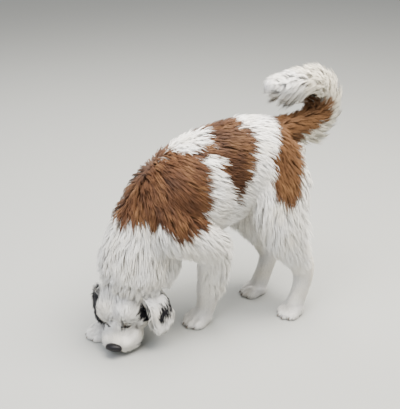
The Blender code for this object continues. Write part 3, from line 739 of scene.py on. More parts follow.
@dataclass
class Markings:
    """The russet patches on the body and the black ones on the ears and before them."""

    white: tuple = linear("FAF9F7")
    # A yellowish white for a random tint of the coat, and for painted shade low on the body and on the tail
    cream_and_shade: tuple = linear("EDE3C8")
    russet: tuple = linear("553620")
    russet_light: tuple = linear("785637")
    russet_dark: tuple = linear("3B2517")
    black: tuple = linear("17161B")

    def patches(self, side: Side) -> list[Polygon]:
        """The outlines of the russet patches on one side.

        Args:
            side: the dog's side.

        Returns:
            The outlines. The right side has no bridge between shoulder and loin.
        """
        far = side is Side.RIGHT
        low = 0.02 if far else 0.0
        saddle = (
            (-0.500, 0.462), (-0.340, 0.446), (-0.301, 0.437), (-0.279, 0.458), (-0.254, 0.448 - low),
            (-0.215, 0.442 - low), (-0.185, 0.396 + 2 * low), (-0.141, 0.417 + low), (-0.085, 0.434),
            (-0.100, 0.468), (-0.078, 0.480), (-0.072, 0.539), (-0.074, 0.585), (-0.080, 0.619),
            (-0.092, 0.633), (-0.111, 0.639), (-0.159, 0.637), (-0.186, 0.622), (-0.200, 0.750),
            (-0.500, 0.750),
        )
        bridge = (
            (-0.096, 0.628), (-0.088, 0.640), (-0.066, 0.652), (-0.040, 0.655), (-0.020, 0.640),
            (-0.030, 0.624), (-0.062, 0.626), (-0.084, 0.612),
        )
        loin = (
            (-0.024, 0.750), (-0.022, 0.684), (-0.038, 0.668), (-0.038, 0.649), (-0.026, 0.626),
            (-0.025, 0.570 - low), (0.003, 0.501 + low), (0.028, 0.452 + low), (0.045, 0.517),
            (0.070, 0.566), (0.088, 0.622), (0.105, 0.669), (0.078, 0.702), (0.070, 0.750),
        )
        rump = (
            (0.203, 0.750), (0.200, 0.672), (0.173, 0.639), (0.146, 0.586), (0.136, 0.494 + low),
            (0.156, 0.464), (0.199, 0.432 + low), (0.234, 0.469), (0.249, 0.518), (0.276, 0.568),
            (0.280, 0.590), (0.311, 0.622), (0.362, 0.634), (0.404, 0.662), (0.414, 0.698),
            (0.374, 0.737), (0.312, 0.713), (0.267, 0.700), (0.240, 0.735),
        )
        outlines = (saddle, loin, rump) if far else (saddle, bridge, loin, rump)
        return [Polygon(outline) for outline in outlines]

    def russet_at(self, points: np.ndarray) -> np.ndarray:
        """How russet the coat is.

        Args:
            points: places on the skin.

        Returns:
            0 to 1 for each place.
        """
        wander = [Ripple(0.045, 5 + k).at(points) + 0.6 * Ripple(0.017, 8 + k).at(points) for k in (0, 1)]
        wander = np.stack(wander)
        places = points[:, (0, 2)] + 0.0055 * wander.T
        depths = [np.max([patch.depth_of(places) for patch in self.patches(side)], axis=0) for side in Side]
        left, right = (smooth_step(depth, -0.0035, 0.0035) for depth in depths)
        on_left = smooth_step(-points[:, 1], -0.015, 0.015)
        return left * on_left + right * (1 - on_left)

    def black_at(self, points: np.ndarray) -> np.ndarray:
        """How black the coat of the head is, with painted shade round the eyes.

        Args:
            points: places on the skin.

        Returns:
            0 to 1 for each place.
        """
        spots = (
            ((-0.275, -0.050, 0.140), (0.023, 0.030, 0.029)),
            ((-0.256, -0.047, 0.102), (0.011, 0.024, 0.027)),
            ((-0.228, -0.086, 0.138), (0.019, 0.020, 0.033)),
            ((-0.200, -0.082, 0.157), (0.010, 0.022, 0.026)),
            ((-0.368, 0.082, 0.112), (0.052, 0.056, 0.079)),
        )
        moved = points + 0.006 * np.stack([Ripple(0.03, 20 + k).at(points) for k in range(3)]).T
        mask = np.zeros(len(points))
        for middle, size in spots:
            reach = np.linalg.norm((moved - np.array(middle)) / np.array(size), axis=1)
            mask = np.maximum(mask, 1 - smooth_step(reach, 0.86, 1.14))
        local = seen_from(head_frame(), points)
        local[:, 1] = np.abs(local[:, 1])
        lip_at, lip_size = np.array((0.213, 0.066, -0.058)), np.array((0.022, 0.012, 0.012))
        lip = np.linalg.norm((local - lip_at) / lip_size, axis=1)
        mask = np.maximum(mask, 1 - smooth_step(lip, 0.8, 1.2))
        # Dark band round each eye: partly the dark rims of the lids, partly painted shade under the brow
        for side in Side:
            seen = seen_from(eye_frame(side), points)
            rim = np.hypot((seen[:, 1] + 0.002 * side.value) / 0.0235, seen[:, 2] / 0.0060)
            mask = np.maximum(mask, 0.92 * (1 - smooth_step(rim, 0.75, 1.2)) * (seen[:, 0] > 0))
        return mask

    def colour(self, points: np.ndarray, on_head: np.ndarray) -> np.ndarray:
        """The coat's colour at each place.

        Args:
            points: places on the skin.
            on_head: 1 where the place is on the head or an ear.

        Returns:
            Linear colours, one row each.
        """
        # Painted shade: the white turns yellowish more and more from 0.76 m down to 0.60 m, and at the rear
        # from x 0.27 on over the tail, on top of a random yellowish tint
        tint_and_shade = 0.5 + 0.5 * Ripple(0.10, 31).at(points)
        tint_and_shade = np.clip(tint_and_shade * 0.5 + 0.5 * smooth_step(points[:, 2], 0.76, 0.60) * 0.6, 0, 1)
        tint_and_shade = np.maximum(tint_and_shade * 0.55, smooth_step(points[:, 0], 0.27, 0.33) * 0.75)
        colours = np.array(self.white) * (1 - tint_and_shade[:, None]) + np.array(self.cream_and_shade) * tint_and_shade[:, None]
        colours = colours * (1 - 0.09 * smooth_step(Ripple(0.022, 51).at(points), -0.2, 1.0))[:, None]
        tone = Ripple(0.06, 41).at(points) * 0.5 + Ripple(0.022, 42).at(points) * 0.35
        light = np.clip(tone, 0, 1)[:, None]
        dark = np.clip(-tone, 0, 1)[:, None]
        russet = np.array(self.russet) * (1 - light - dark).clip(0, 1)
        russet = russet + np.array(self.russet_light) * light + np.array(self.russet_dark) * dark
        pale = 0.62 * smooth_step(points[:, 0], 0.06, 0.30)[:, None]
        russet = russet * (1 - pale) + np.array(self.russet_light) * pale
        # Painted shade: the loin faces the light from above, so its brown is darkened by up to 30 percent
        loin = np.exp(-(((points[:, 0] - 0.03) / 0.07) ** 2))[:, None]
        russet = russet * (1 - 0.30 * loin)
        brown = (self.russet_at(points) * (1 - on_head))[:, None]
        colours = colours * (1 - brown) + russet * brown
        black = (self.black_at(points) * on_head)[:, None]
        return colours * (1 - black) + np.array(self.black) * black


@dataclass(frozen=True)
class TuftKind:
    """How the tufts of one stretch of coat are made.

    Args:
        name: what they are called in the pieces' names.
        rings: cross-sections of a tuft before its tip.
        overlap: how many tufts lie over each place.
        lengths: the shortest and the longest hair that it takes.
        widths: the widths at those lengths.
    """

    name: str
    rings: int
    overlap: float
    lengths: tuple[float, float]
    widths: tuple[float, float]

    def width(self, length: np.ndarray) -> np.ndarray:
        """How wide its tufts are at each length of the hair."""
        return np.interp(length, self.lengths, self.widths)


TUFT_KINDS = (
    TuftKind("long", 3, 4.8, (0.042, 0.100), (0.0028, 0.0036)),
    TuftKind("middle", 2, 3.7, (0.018, 0.042), (0.0020, 0.0028)),
    TuftKind("short", 1, 3.6, (0.0, 0.018), (0.0013, 0.0020)),
)


class Coat:
    """Lays solid tufts over a hide, along its lie, and joins them into pieces.

    Args:
        hide: the skin that it grows on.
        markings: its colours.
        bare: finds the roots that stay bare.
    """

    STEPS = 5

    def __init__(self, hide: Hide, markings: Markings, bare: Callable[[np.ndarray], np.ndarray]) -> None:
        """Starts the random draws and makes the hide's search tree.

        Args:
            hide: the skin that it grows on.
            markings: its colours.
            bare: finds the roots that stay bare.
        """
        self.hide = hide
        self.markings = markings
        self.bare = bare
        self.draw = np.random.default_rng(SEED)
        self.tree = hide.tree()

    def scatter(self, density: np.ndarray) -> tuple[np.ndarray, np.ndarray, np.ndarray]:
        """Draws places on the hide.

        Args:
            density: how many places a square metre has at each corner.

        Returns:
            The places, the nearest corner of each, and its way out.
        """
        corners = self.hide.points[self.hide.triangles]
        first, second = corners[:, 1] - corners[:, 0], corners[:, 2] - corners[:, 0]
        areas = np.linalg.norm(np.cross(first, second), axis=1) / 2
        wanted = areas * density[self.hide.triangles].mean(axis=1)
        count = np.floor(wanted + self.draw.random(len(wanted))).astype(int)
        chosen = np.repeat(np.arange(len(count)), count)
        a, b = self.draw.random(len(chosen)), self.draw.random(len(chosen))
        flip = a + b > 1
        a, b = np.where(flip, 1 - a, a), np.where(flip, 1 - b, b)
        weights = np.stack((1 - a - b, a, b), axis=1)
        places = (corners[chosen] * weights[:, :, None]).sum(axis=1)
        nearest = self.hide.triangles[chosen, weights.argmax(axis=1)]
        keep = ~self.bare(places)
        return places[keep], nearest[keep], self.hide.normals[nearest[keep]]

    def guides(self) -> tuple[np.ndarray, np.ndarray]:
        """Combs guide hairs over the hide.

        Returns:
            The points of each guide from its root to its tip, and the way out at each point.
        """
        depth = self.hide.values["depth"]
        spacing = GUIDE_SPACING + GUIDE_SPREAD * depth
        places, corner, normals = self.scatter(1 / spacing**2)
        total = len(places)
        paths = np.zeros((total, self.STEPS + 1, 3))
        ways = np.zeros((total, self.STEPS + 1, 3))
        length = self.hide.values["length"][corner] * self.draw.uniform(0.85, 1.15, total)
        stand = self.hide.values["stand"][corner]
        rise = self.hide.values["depth"][corner] * self.draw.uniform(0.94, 1.04, total) * stand
        full = np.where(stand > 1.02, 1.0, 0.75)
        sway = math.pi * Ripple(0.075, 62).at(places) + self.draw.normal(0, 0.5, total)
        lies = self.hide.values["lie"]
        swing = SWING * Ripple(0.055, 61).at(places) + self.draw.normal(0, 0.09, total)
        droops = self.hide.values["droop"][corner] * length
        for index in range(total):
            foot = Vector(places[index])
            normal = Vector(normals[index])
            lie = Vector(lies[corner[index]])
            lie = Matrix.Rotation(swing[index], 3, normal) @ lie
            step = length[index] / self.STEPS
            for k in range(self.STEPS + 1):
                t = k / self.STEPS
                height = rise[index] * math.sin(math.pi / 2 * min(t / full[index], 1.0)) - ROOT_SUNK * (1 - t)
                wave = WAVE * length[index] * t * math.sin(sway[index] + 4.6 * t)
                droop = droops[index] * t * t * min(max(0.45 - normal.z, 0.0), 1.0)
                place = foot + normal * height + lie.cross(normal) * wave
                paths[index, k] = (place.x, place.y, place.z - droop)
                ways[index, k] = normal
                if k < self.STEPS:
                    found, way, face, _ = self.tree.find_nearest(foot + lie * step)
                    foot = found
                    target = Vector(lies[self.hide.triangles[face][0]])
                    normal = (normal * 0.4 + way * 0.6).normalized()
                    lie = lie * 0.55 + target * 0.45
                    lie = (lie - normal * lie.dot(normal)).normalized()
        return paths, ways

    def grow(self, names: dict[str, Slot], prefix: str) -> list[bpy.types.Object]:
        """Grows the coat.

        Args:
            names: the slot of each limb's pieces; not used.
            prefix: the start of each piece's name.

        Returns:
            The finished pieces.
        """
        paths, ways = self.guides()
        log.info("%s: %d guides", prefix, len(paths))
        finder = KDTree(len(paths))
        for index, root in enumerate(paths[:, 0]):
            finder.insert(root, index)
        finder.balance()
        length = self.hide.values["length"]
        pieces = []
        for kind in TUFT_KINDS:
            here = (length >= kind.lengths[0]) & ((length < kind.lengths[1]) | (kind is TUFT_KINDS[0]))
            width = kind.width(length)
            density = np.where(here, kind.overlap * self.hide.values["spread"] / (0.55 * width * length), 0.0)
            places, corner, _ = self.scatter(density)
            guide = np.array([finder.find(place)[1] for place in places])
            owner = self.hide.owner[corner]
            for number, limb in enumerate(self.hide.limbs):
                mine = np.nonzero(owner == number)[0]
                if not len(mine):
                    continue
                most = PIECE_TRIANGLES // (6 * kind.rings - 2)
                parts = max(1, math.ceil(len(mine) / most))
                mine = mine[np.argsort(places[mine, 0])]
                for part, chosen in enumerate(np.array_split(mine, parts)):
                    name = f"{prefix}_{limb}_{kind.name}_{part + 1}"
                    piece = self.tufts(name, kind, places[chosen], corner[chosen], paths[guide[chosen]],
                                       ways[guide[chosen]], width[corner[chosen]], number)
                    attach(piece, BODY)
                    pieces.append(piece)
                    log.info("%s: %d tufts", name, len(chosen))
        return pieces

    def tufts(
        self,
        name: str,
        kind: TuftKind,
        roots: np.ndarray,
        corner: np.ndarray,
        paths: np.ndarray,
        ways: np.ndarray,
        width: np.ndarray,
        limb: int,
    ) -> bpy.types.Object:
        """Joins the tufts of one piece from arrays.

        Args:
            name: the piece's name.
            kind: how its tufts are made.
            roots: where they grow.
            corner: the hide's corner at each root.
            paths: the guide that each follows.
            ways: the way out along that guide.
            width: how wide each is.
            limb: the number of the limb that they are on.

        Returns:
            The piece.
        """
        draw = self.draw
        total = len(roots)
        clump = self.hide.values["clump"][corner] * draw.uniform(0.7, 1.15, total)
        under = draw.random(total) < 0.30
        low = np.where(under, draw.uniform(0.45, 0.85, total), draw.uniform(0.87, 1.03, total))
        reach = draw.uniform(0.70, 1.0, total)
        stray = draw.normal(0, 0.042, (total, 3)) * self.hide.values["length"][corner][:, None]
        offset = roots - paths[:, 0]
        spots = np.linspace(0, 1, kind.rings + 1)
        lines = []
        outs = []
        for spot in spots:
            along = spot * reach * self.STEPS
            first = np.minimum(along.astype(int), self.STEPS - 1)
            part = (along - first)[:, None]
            every = np.arange(total)
            at = paths[every, first] * (1 - part) + paths[every, first + 1] * part
            out = unit(ways[every, first] * (1 - part) + ways[every, first + 1] * part)
            hold = np.clip(1 - clump * spot, 0, 1)[:, None]
            sunk = ((at - paths[:, 0]) * out).sum(axis=1) * (low - 1) * min(spot * 2, 1)
            lines.append(at + offset * hold + out * sunk[:, None] + stray * spot)
            outs.append(out)
        lines, outs = np.stack(lines, axis=1), np.stack(outs, axis=1)
        lines[:, :, 2] = np.maximum(lines[:, :, 2], HAIR_LIFT)
        along = unit(np.gradient(lines, axis=1))
        across = unit(np.cross(along, outs))
        soft = unit(outs + SOFT_TURN * (outs - along * (outs * along).sum(axis=2, keepdims=True)))
        outs = np.cross(across, along)
        taper = np.array([math.sin(math.pi * (0.30 + 0.68 * spot)) for spot in spots])
        half = (width * draw.uniform(0.75, 1.2, total))[:, None] * taper[None, :] * 0.5
        thick = half * 0.55
        ring = kind.rings
        beside = across[:, :ring] * half[:, :ring, None]
        above = outs[:, :ring] * thick[:, :ring, None]
        left = lines[:, :ring] - beside - above
        ridge = lines[:, :ring] + above
        right = lines[:, :ring] + beside - above
        rings = np.stack((left, ridge, right), axis=2).reshape(total, ring * 3, 3)
        points = np.concatenate((rings, lines[:, ring:]), axis=1)
        lean = across[:, :ring] * SIDE_TURN
        facing = np.stack((soft[:, :ring] - lean, soft[:, :ring], soft[:, :ring] + lean), axis=2)
        facing = unit(np.concatenate((facing.reshape(total, ring * 3, 3), soft[:, ring:]), axis=1))
        faces = tuft_faces(ring)
        mesh = bpy.data.meshes.new(name)
        each = points.shape[1]
        corners = (faces[None, :, :] + (np.arange(total) * each)[:, None, None]).reshape(-1)
        mesh.vertices.add(total * each)
        shifted = points.reshape(-1, 3) + np.array(MODEL_SHIFT)
        mesh.vertices.foreach_set("co", shifted.ravel())
        mesh.loops.add(len(corners))
        mesh.loops.foreach_set("vertex_index", corners)
        mesh.polygons.add(len(corners) // 3)
        mesh.polygons.foreach_set("loop_start", np.arange(0, len(corners), 3))
        mesh.polygons.foreach_set("use_smooth", np.ones(len(corners) // 3, bool))
        mesh.update(calc_edges=True)
        mesh.normals_split_custom_set_from_vertices(facing.reshape(-1, 3))
        on_head = np.full(total, float("head" in self.hide.limbs))
        shown = paths[:, 3] * 0.75 + roots * 0.25 + draw.normal(0, 0.0025, roots.shape)
        colours = self.markings.colour(shown, on_head)
        colours = colours * draw.uniform(0.91, 1.06, total)[:, None]
        write_colours(mesh, np.repeat(colours, each, axis=0))
        heights = np.concatenate((np.repeat(spots[:ring], 3), spots[ring:]))
        tip = mesh.attributes.new("tip", "FLOAT", "POINT")
        tip.data.foreach_set("value", np.tile(heights, total))
        self.bake_map(mesh, faces, heights, corner, limb, each, total)
        return add_object(name, mesh)

    def bake_map(
        self,
        mesh: bpy.types.Mesh,
        faces: np.ndarray,
        heights: np.ndarray,
        corner: np.ndarray,
        limb: int,
        each: int,
        total: int,
    ) -> None:
        """Writes the map OFBake, where each tuft is a small patch at its root's place.

        The skin is unwrapped limb by limb: along it one way and round it the other.

        Args:
            mesh: the joined tufts.
            faces: the triangles of one tuft.
            heights: how far along the tuft each of its points is.
            corner: the hide's corner at each root.
            limb: the number of the limb.
            each: the points of one tuft.
            total: the number of tufts.
        """
        lanes = len(self.hide.limbs)
        share = np.clip(self.hide.values["share"][corner], 0, 1)
        angle = self.hide.values["angle"][corner] / (2 * math.pi) + 0.5
        centre_u = (limb + 0.04 + 0.92 * angle) / lanes
        centre_v = 0.02 + 0.96 * share
        sideways = np.array([(k % 3 - 1) if k < each - 1 else 0 for k in range(each)]) * BAKE_HALF
        upwards = (heights - 0.5) * BAKE_HIGH
        u = centre_u[:, None] + sideways[None, :]
        v = centre_v[:, None] + upwards[None, :]
        flat = faces.reshape(-1)
        uv = np.stack((u[:, flat], v[:, flat]), axis=2).reshape(-1)
        layer = mesh.uv_layers.new(name="OFBake")
        layer.uv.foreach_set("vector", uv)


def tuft_faces(rings: int) -> np.ndarray:
    """The triangles of a closed tuft.

    Args:
        rings: how many rings of three points it has before its tip.

    Returns:
        Three corners a triangle.
    """
    faces = [(0, 1, 2)]
    for start in range(0, 3 * rings - 3, 3):
        for k in range(3):
            n = (k + 1) % 3
            faces.append((start + k, start + k + 3, start + n))
            faces.append((start + n, start + k + 3, start + n + 3))
    last = 3 * rings - 3
    faces.extend((last + k, last + 3, last + (k + 1) % 3) for k in range(3))
    return np.array(faces)[:, ::-1]


def write_colours(mesh: bpy.types.Mesh, colours: np.ndarray) -> None:
    """Writes one linear colour for each point of a mesh.

    Args:
        mesh: the mesh.
        colours: one row a point.
    """
    layer = mesh.attributes.new("coat_colour", "FLOAT_COLOR", "POINT")
    filled = np.concatenate((np.clip(colours, 0, 1), np.ones((len(colours), 1))), axis=1)
    layer.data.foreach_set("color", filled.ravel())


def add_object(name: str, data: bpy.types.ID) -> bpy.types.Object:
    """Adds an object to the scene.

    Args:
        name: what it is called.
        data: its mesh, light or camera.

    Returns:
        The object.
    """
    obj = bpy.data.objects.new(name, data)
    bpy.context.scene.collection.objects.link(obj)
    return obj


def link_mesh(name: str, bm: bmesh.types.BMesh) -> bpy.types.Object:
    """Adds an object that holds a finished bmesh.

    Args:
        name: what it is called.
        bm: the bmesh, which is freed.

    Returns:
        The object.
    """
    mesh = bpy.data.meshes.new(name)
    bm.to_mesh(mesh)
    bm.free()
    return add_object(name, mesh)


def unit_ball(name: str, segments: int, rings: int) -> bpy.types.Object:
    """Adds a ball of radius 1 round the origin.

    Args:
        name: what it is called.
        segments: how many segments it has.
        rings: how many rings it has.

    Returns:
        The ball.
    """
    bpy.ops.object.select_all(action="DESELECT")
    bpy.ops.mesh.primitive_uv_sphere_add(segments=segments, ring_count=rings, radius=1.0)
    obj = bpy.context.active_object
    obj.name = name
    return obj


def apply_modifiers(obj: bpy.types.Object) -> None:
    """Applies all of an object's modifiers in order.

    Args:
        obj: the object.
    """
    bpy.ops.object.select_all(action="DESELECT")
    obj.select_set(True)
    bpy.context.view_layer.objects.active = obj
    for modifier in list(obj.modifiers):
        bpy.ops.object.modifier_apply(modifier=modifier.name)


def joined(name: str, forms: list[bmesh.types.BMesh]) -> bpy.types.Object:
    """Joins forms into one object, each as a shell of its own.

    Args:
        name: what the object is called.
        forms: the forms, which are freed.

    Returns:
        The object.
    """
    whole = bmesh.new()
    for form in forms:
        part = bpy.data.meshes.new("part")
        form.to_mesh(part)
        form.free()
        whole.from_mesh(part)
        bpy.data.meshes.remove(part)
    return link_mesh(name, whole)


def ellipsoid(at: tuple, size: tuple, base: Matrix, segments: int = 24) -> bmesh.types.BMesh:
    """A closed ellipsoid in a frame of its own.

    Args:
        at: its middle.
        size: its half-sizes.
        base: the frame.
        segments: how many sides it has.

    Returns:
        The mesh.
    """
    bm = bmesh.new()
    place = base @ Matrix.Translation(at) @ Matrix.Diagonal((*size, 1))
    bmesh.ops.create_uvsphere(bm, u_segments=segments, v_segments=segments // 2, radius=1, matrix=place)
    return bm


def fuse(obj: bpy.types.Object, voxel: float, smoothing: int) -> None:
    """Fuses an object's shells into one skin of triangles and smooths it.

    Args:
        obj: the object.
        voxel: how fine the skin is.
        smoothing: how often it is smoothed.
    """
    remesh = obj.modifiers.new("fuse", "REMESH")
    remesh.mode = "VOXEL"
    remesh.voxel_size = voxel
    smooth = obj.modifiers.new("soften", "SMOOTH")
    smooth.factor = 0.5
    smooth.iterations = smoothing
    obj.modifiers.new("triangles", "TRIANGULATE")
    apply_modifiers(obj)


@dataclass
class Flesh:
    """The skin of the whole dog: the body as one fused form, and the head with its ears as another that
    runs on into the neck."""

    tail: Limb = field(
        default_factory=lambda: Limb(
            "tail", TAIL, hang=0.05, stand=1.04, length=1.7, clump=0.18, droop=0.30,
            fringes=((3.4, 6.6, 0.60, 90.0), (1.2, 2.4, 0.80, -90.0)),
        )
    )
    trunk: Limb = field(
        default_factory=lambda: Limb(
            "trunk", TRUNK, flow=(-1.0, -1.0, -1.0, -1.0, -0.9, -0.6, -0.1, 0.5), part=0.45, parting=0.42,
            hang=0.5, length=2.3, clump=0.28,
        )
    )
    neck: Limb = field(
        default_factory=lambda: Limb(
            "neck", NECK, part=0.35, parting=0.42, hang=0.4, length=1.75, clump=0.30, flat_end=0.4,
            short_end=0.78,
        )
    )

    def body_limbs(self) -> list[Limb]:
        """Trunk, neck, tail and legs."""
        plain = {"clump": 0.45, "stand": 1.18, "shortest": 0.016, "short_end": 0.42}
        front = {"fringes": ((2.2, 6.2, 0.9, 90.0),), **plain}
        rear = {"fringes": ((0.4, 4.2, 0.25, 90.0),), **plain}
        legs = [
            Limb("foreleg_left", FORELEG_LEFT, **front),
            Limb("foreleg_right", FORELEG_RIGHT, **front),
            Limb("hindleg_left", HINDLEG_LEFT, **rear),
            Limb("hindleg_right", HINDLEG_RIGHT, **rear),
        ]
        return [self.trunk, self.neck, self.tail, *legs]

    def head_limbs(self) -> list[Limb]:
        """The head and its ears."""
        return [skull_limb(), ear_limb(Side.LEFT), ear_limb(Side.RIGHT)]

    def body(self) -> bpy.types.Object:
        """The fused skin of trunk, neck, tail and legs, level under the soles."""
        forms = [limb.loft() for limb in self.body_limbs()]
        for base in paw_frames():
            forms.append(ellipsoid((0.012, 0, 0.022), (0.032, 0.030, 0.027), base))
            for across, ahead in TOES:
                forms.append(ellipsoid((-ahead - 0.008, across, 0.012), (0.0235, 0.0105, 0.015), base))
                forms.append(ellipsoid((-ahead + 0.014, across * 0.85, 0.027), (0.022, 0.0098, 0.0150), base))
        obj = joined("skin_body", forms)
        fuse(obj, BODY_VOXEL, 4)
        points = read_corners(obj.data)
        points[:, 2] = np.maximum(points[:, 2], SOLE_LIFT)
        obj.data.vertices.foreach_set("co", points.ravel())
        return obj

    def head(self) -> bpy.types.Object:
        """The fused skin of skull, muzzle, jaw and ears, with folds, lips and the seats of the eyes."""
        base = head_frame()
        forms = [head_form(form, base, Side.LEFT) for form in HEAD_MIDDLE]
        for form in HEAD_PAIRS:
            forms.extend(head_form(form, base, side) for side in Side)
        for sections in (MUZZLE, JAW):
            form = Limb("muzzle", sections).loft()
            bmesh.ops.transform(form, matrix=base, verts=form.verts)
            forms.append(form)
        forms.extend(limb.loft(sides=40) for limb in self.head_limbs()[1:])
        obj = joined("skin_head", forms)
        fuse(obj, HEAD_VOXEL, 40)
        self.carve(obj)
        return obj

    def carve(self, obj: bpy.types.Object) -> None:
        """Moves the head's skin in and out for the folds of the brow, the furrow, lips and eyes.

        Args:
            obj: the fused head.
        """
        points, normals = read_corners(obj.data), read_corners(obj.data, "normal")
        local = seen_from(head_frame(), points)
        x, y, z = local.T
        side = np.abs(y)
        top = smooth_step(z, 0.0, 0.02)
        push = np.zeros(len(points))
        furrow = np.exp(-((y / 0.006) ** 2)) * smooth_step(x, 0.06, 0.10)
        furrow = furrow * (1 - smooth_step(x, 0.150, 0.165))
        push -= 0.0030 * furrow * top
        for centre, lift, slant in ((0.128, 0.0022, 0.35), (0.113, 0.0016, 0.45)):
            fold = np.exp(-(((x - centre + slant * (side - 0.03)) / 0.0050) ** 2))
            inner, outer = smooth_step(side, 0.006, 0.018), smooth_step(side, 0.045, 0.062)
            push += lift * fold * top * inner * (1 - outer)
        lips = self.mouth_distance(local)
        push -= 0.0058 * np.exp(-((lips / 0.0032) ** 2))
        push += 0.0016 * np.exp(-(((lips - 0.008) / 0.004) ** 2))
        points = points + normals * push[:, None]
        for which in Side:
            eye = eye_frame(which)
            seen = seen_from(eye, points)
            spread = np.hypot(seen[:, 1] / EYE_SEAT[0], seen[:, 2] / EYE_SEAT[1])
            inward = (seen[:, 0] > 0) * (1 - smooth_step(spread, 0.72, 1.0))
            back = np.array(eye.to_3x3() @ Vector((-1, 0, 0)))
            drop = np.maximum(seen[:, 0] - EYE_FLAT, 0) * inward
            points = points + back * drop[:, None]
        obj.data.vertices.foreach_set("co", points.ravel())
        obj.data.update()

    def mouth_distance(self, local: np.ndarray) -> np.ndarray:
        """How far places lie from the line of the mouth.

        Args:
            local: places in the head's frame.

        Returns:
            The distance of each, to the nearer side's line.
        """
        mirrored = local * np.array((1, 0, 1)) + np.abs(local) * np.array((0, 1, 0))
        best = np.full(len(local), 1e9)
        for a, b in zip(np.array(MOUTH), np.array(MOUTH)[1:]):
            t = np.clip(((mirrored - a) @ (b - a)) / ((b - a) @ (b - a)), 0, 1)
            best = np.minimum(best, np.linalg.norm(mirrored - a - t[:, None] * (b - a), axis=1))
        return best


def head_form(form: Form, base: Matrix, side: Side) -> bmesh.types.BMesh:
    """One rounded form of the head without its coat.

    Args:
        form: the form with its coat.
        base: the head's frame.
        side: the side that it is on.

    Returns:
        The form's shell.
    """
    forward, left, up = form.at
    size = tuple(value - form.coat for value in form.size)
    return ellipsoid((forward, left * side.value, up), size, base)


def shift_piece(obj: bpy.types.Object) -> None:
    """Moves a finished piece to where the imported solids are."""
    obj.data.transform(Matrix.Translation(MODEL_SHIFT))


def add_node(
    tree: bpy.types.NodeTree, kind: str, settings: dict[str, object] | None = None, **links: object
) -> bpy.types.Node:
    """Adds a node with its settings and links.

    Args:
        tree: the material's nodes.
        kind: the node's type.
        settings: its own properties by name.
        links: a value or another node's output for each input, by name with _ for a space or by in_N.

    Returns:
        The node.
    """
    node = tree.nodes.new(kind)
    for key, value in (settings or {}).items():
        setattr(node, key, value)
    for key, value in links.items():
        socket = node.inputs[int(key[3:])] if key.startswith("in_") else node.inputs[key.replace("_", " ")]
        if isinstance(value, bpy.types.NodeSocket):
            tree.links.new(value, socket)
        else:
            socket.default_value = value
    return node


def new_material(name: str) -> tuple[bpy.types.Material, bpy.types.NodeTree, bpy.types.Node]:
    """A new material.

    Args:
        name: what it is called.

    Returns:
        The material, its nodes and its shader.
    """
    material = bpy.data.materials.new(name)
    material.use_nodes = True
    return material, material.node_tree, material.node_tree.nodes["Principled BSDF"]


@dataclass(frozen=True)
class HairFinish:
    """Soft dog hair, white where there is no pigment: a matt fibre with a faint sheen along its length.

    Args:
        roughness: of the fibres.
        root_shade: how dark the hair is at its root, where little light comes.
    """

    roughness: float = 0.62
    root_shade: float = 0.84

    def material(self) -> bpy.types.Material:
        """The coat's material, which takes its colour from the piece's own colours."""
        material, tree, shader = new_material("long_soft_dog_hair")
        colour = add_node(tree, "ShaderNodeAttribute", {"attribute_name": "coat_colour"})
        tip = add_node(tree, "ShaderNodeAttribute", {"attribute_name": "tip"})
        shade = add_node(
            tree, "ShaderNodeMapRange", {"clamp": True},
            Value=tip.outputs["Fac"], From_Min=0.0, From_Max=0.55, To_Min=self.root_shade, To_Max=1.0,
        )
        place = add_node(tree, "ShaderNodeTexCoord")
        # Strands about 3 mm apart differ a little in tone
        strands = add_node(
            tree, "ShaderNodeTexNoise",
            Vector=place.outputs["Object"], Scale=330.0, Detail=2.0, Roughness=0.6,
        )
        tone = add_node(
            tree, "ShaderNodeMapRange", {"clamp": True},
            Value=strands.outputs["Fac"], From_Min=0.3, From_Max=0.7, To_Min=0.88, To_Max=1.06,
        )
        both = add_node(
            tree, "ShaderNodeMath", {"operation": "MULTIPLY"},
            in_0=shade.outputs["Result"], in_1=tone.outputs["Result"],
        )
        mixed = add_node(
            tree, "ShaderNodeVectorMath", {"operation": "SCALE"},
            in_0=colour.outputs["Color"], Scale=both.outputs["Value"],
        )
        tree.links.new(mixed.outputs["Vector"], shader.inputs["Base Color"])
        shader.inputs["Roughness"].default_value = self.roughness
        shader.inputs["Specular IOR Level"].default_value = 0.16
        shader.inputs["Sheen Weight"].default_value = 0.06
        shader.inputs["Sheen Roughness"].default_value = 0.5
        return material


@dataclass(frozen=True)
class HideFinish:
    """Short-haired skin under the coat: matt, with the grain of flat hair as a bump."""

    def material(self) -> bpy.types.Material:
        """The skin's material."""
        material, tree, shader = new_material("short_flat_hair_on_skin")
        colour = add_node(tree, "ShaderNodeAttribute", {"attribute_name": "coat_colour"})
        place = add_node(tree, "ShaderNodeTexCoord")
        # Flat hair with a grain of about 1.5 mm
        grain = add_node(
            tree, "ShaderNodeTexNoise",
            Vector=place.outputs["Object"], Scale=650.0, Detail=3.0, Roughness=0.6,
        )
        tone = add_node(
            tree, "ShaderNodeMapRange", {"clamp": True},
            Value=grain.outputs["Fac"], From_Min=0.3, From_Max=0.7, To_Min=0.80, To_Max=1.0,
        )
        mixed = add_node(
            tree, "ShaderNodeVectorMath", {"operation": "SCALE"},
            in_0=colour.outputs["Color"], Scale=tone.outputs["Result"],
        )
        bump = add_node(tree, "ShaderNodeBump", Strength=0.5, Distance=0.0008, Height=grain.outputs["Fac"])
        tree.links.new(mixed.outputs["Vector"], shader.inputs["Base Color"])
        tree.links.new(bump.outputs["Normal"], shader.inputs["Normal"])
        shader.inputs["Roughness"].default_value = 0.75
        shader.inputs["Specular IOR Level"].default_value = 0.25
        return material


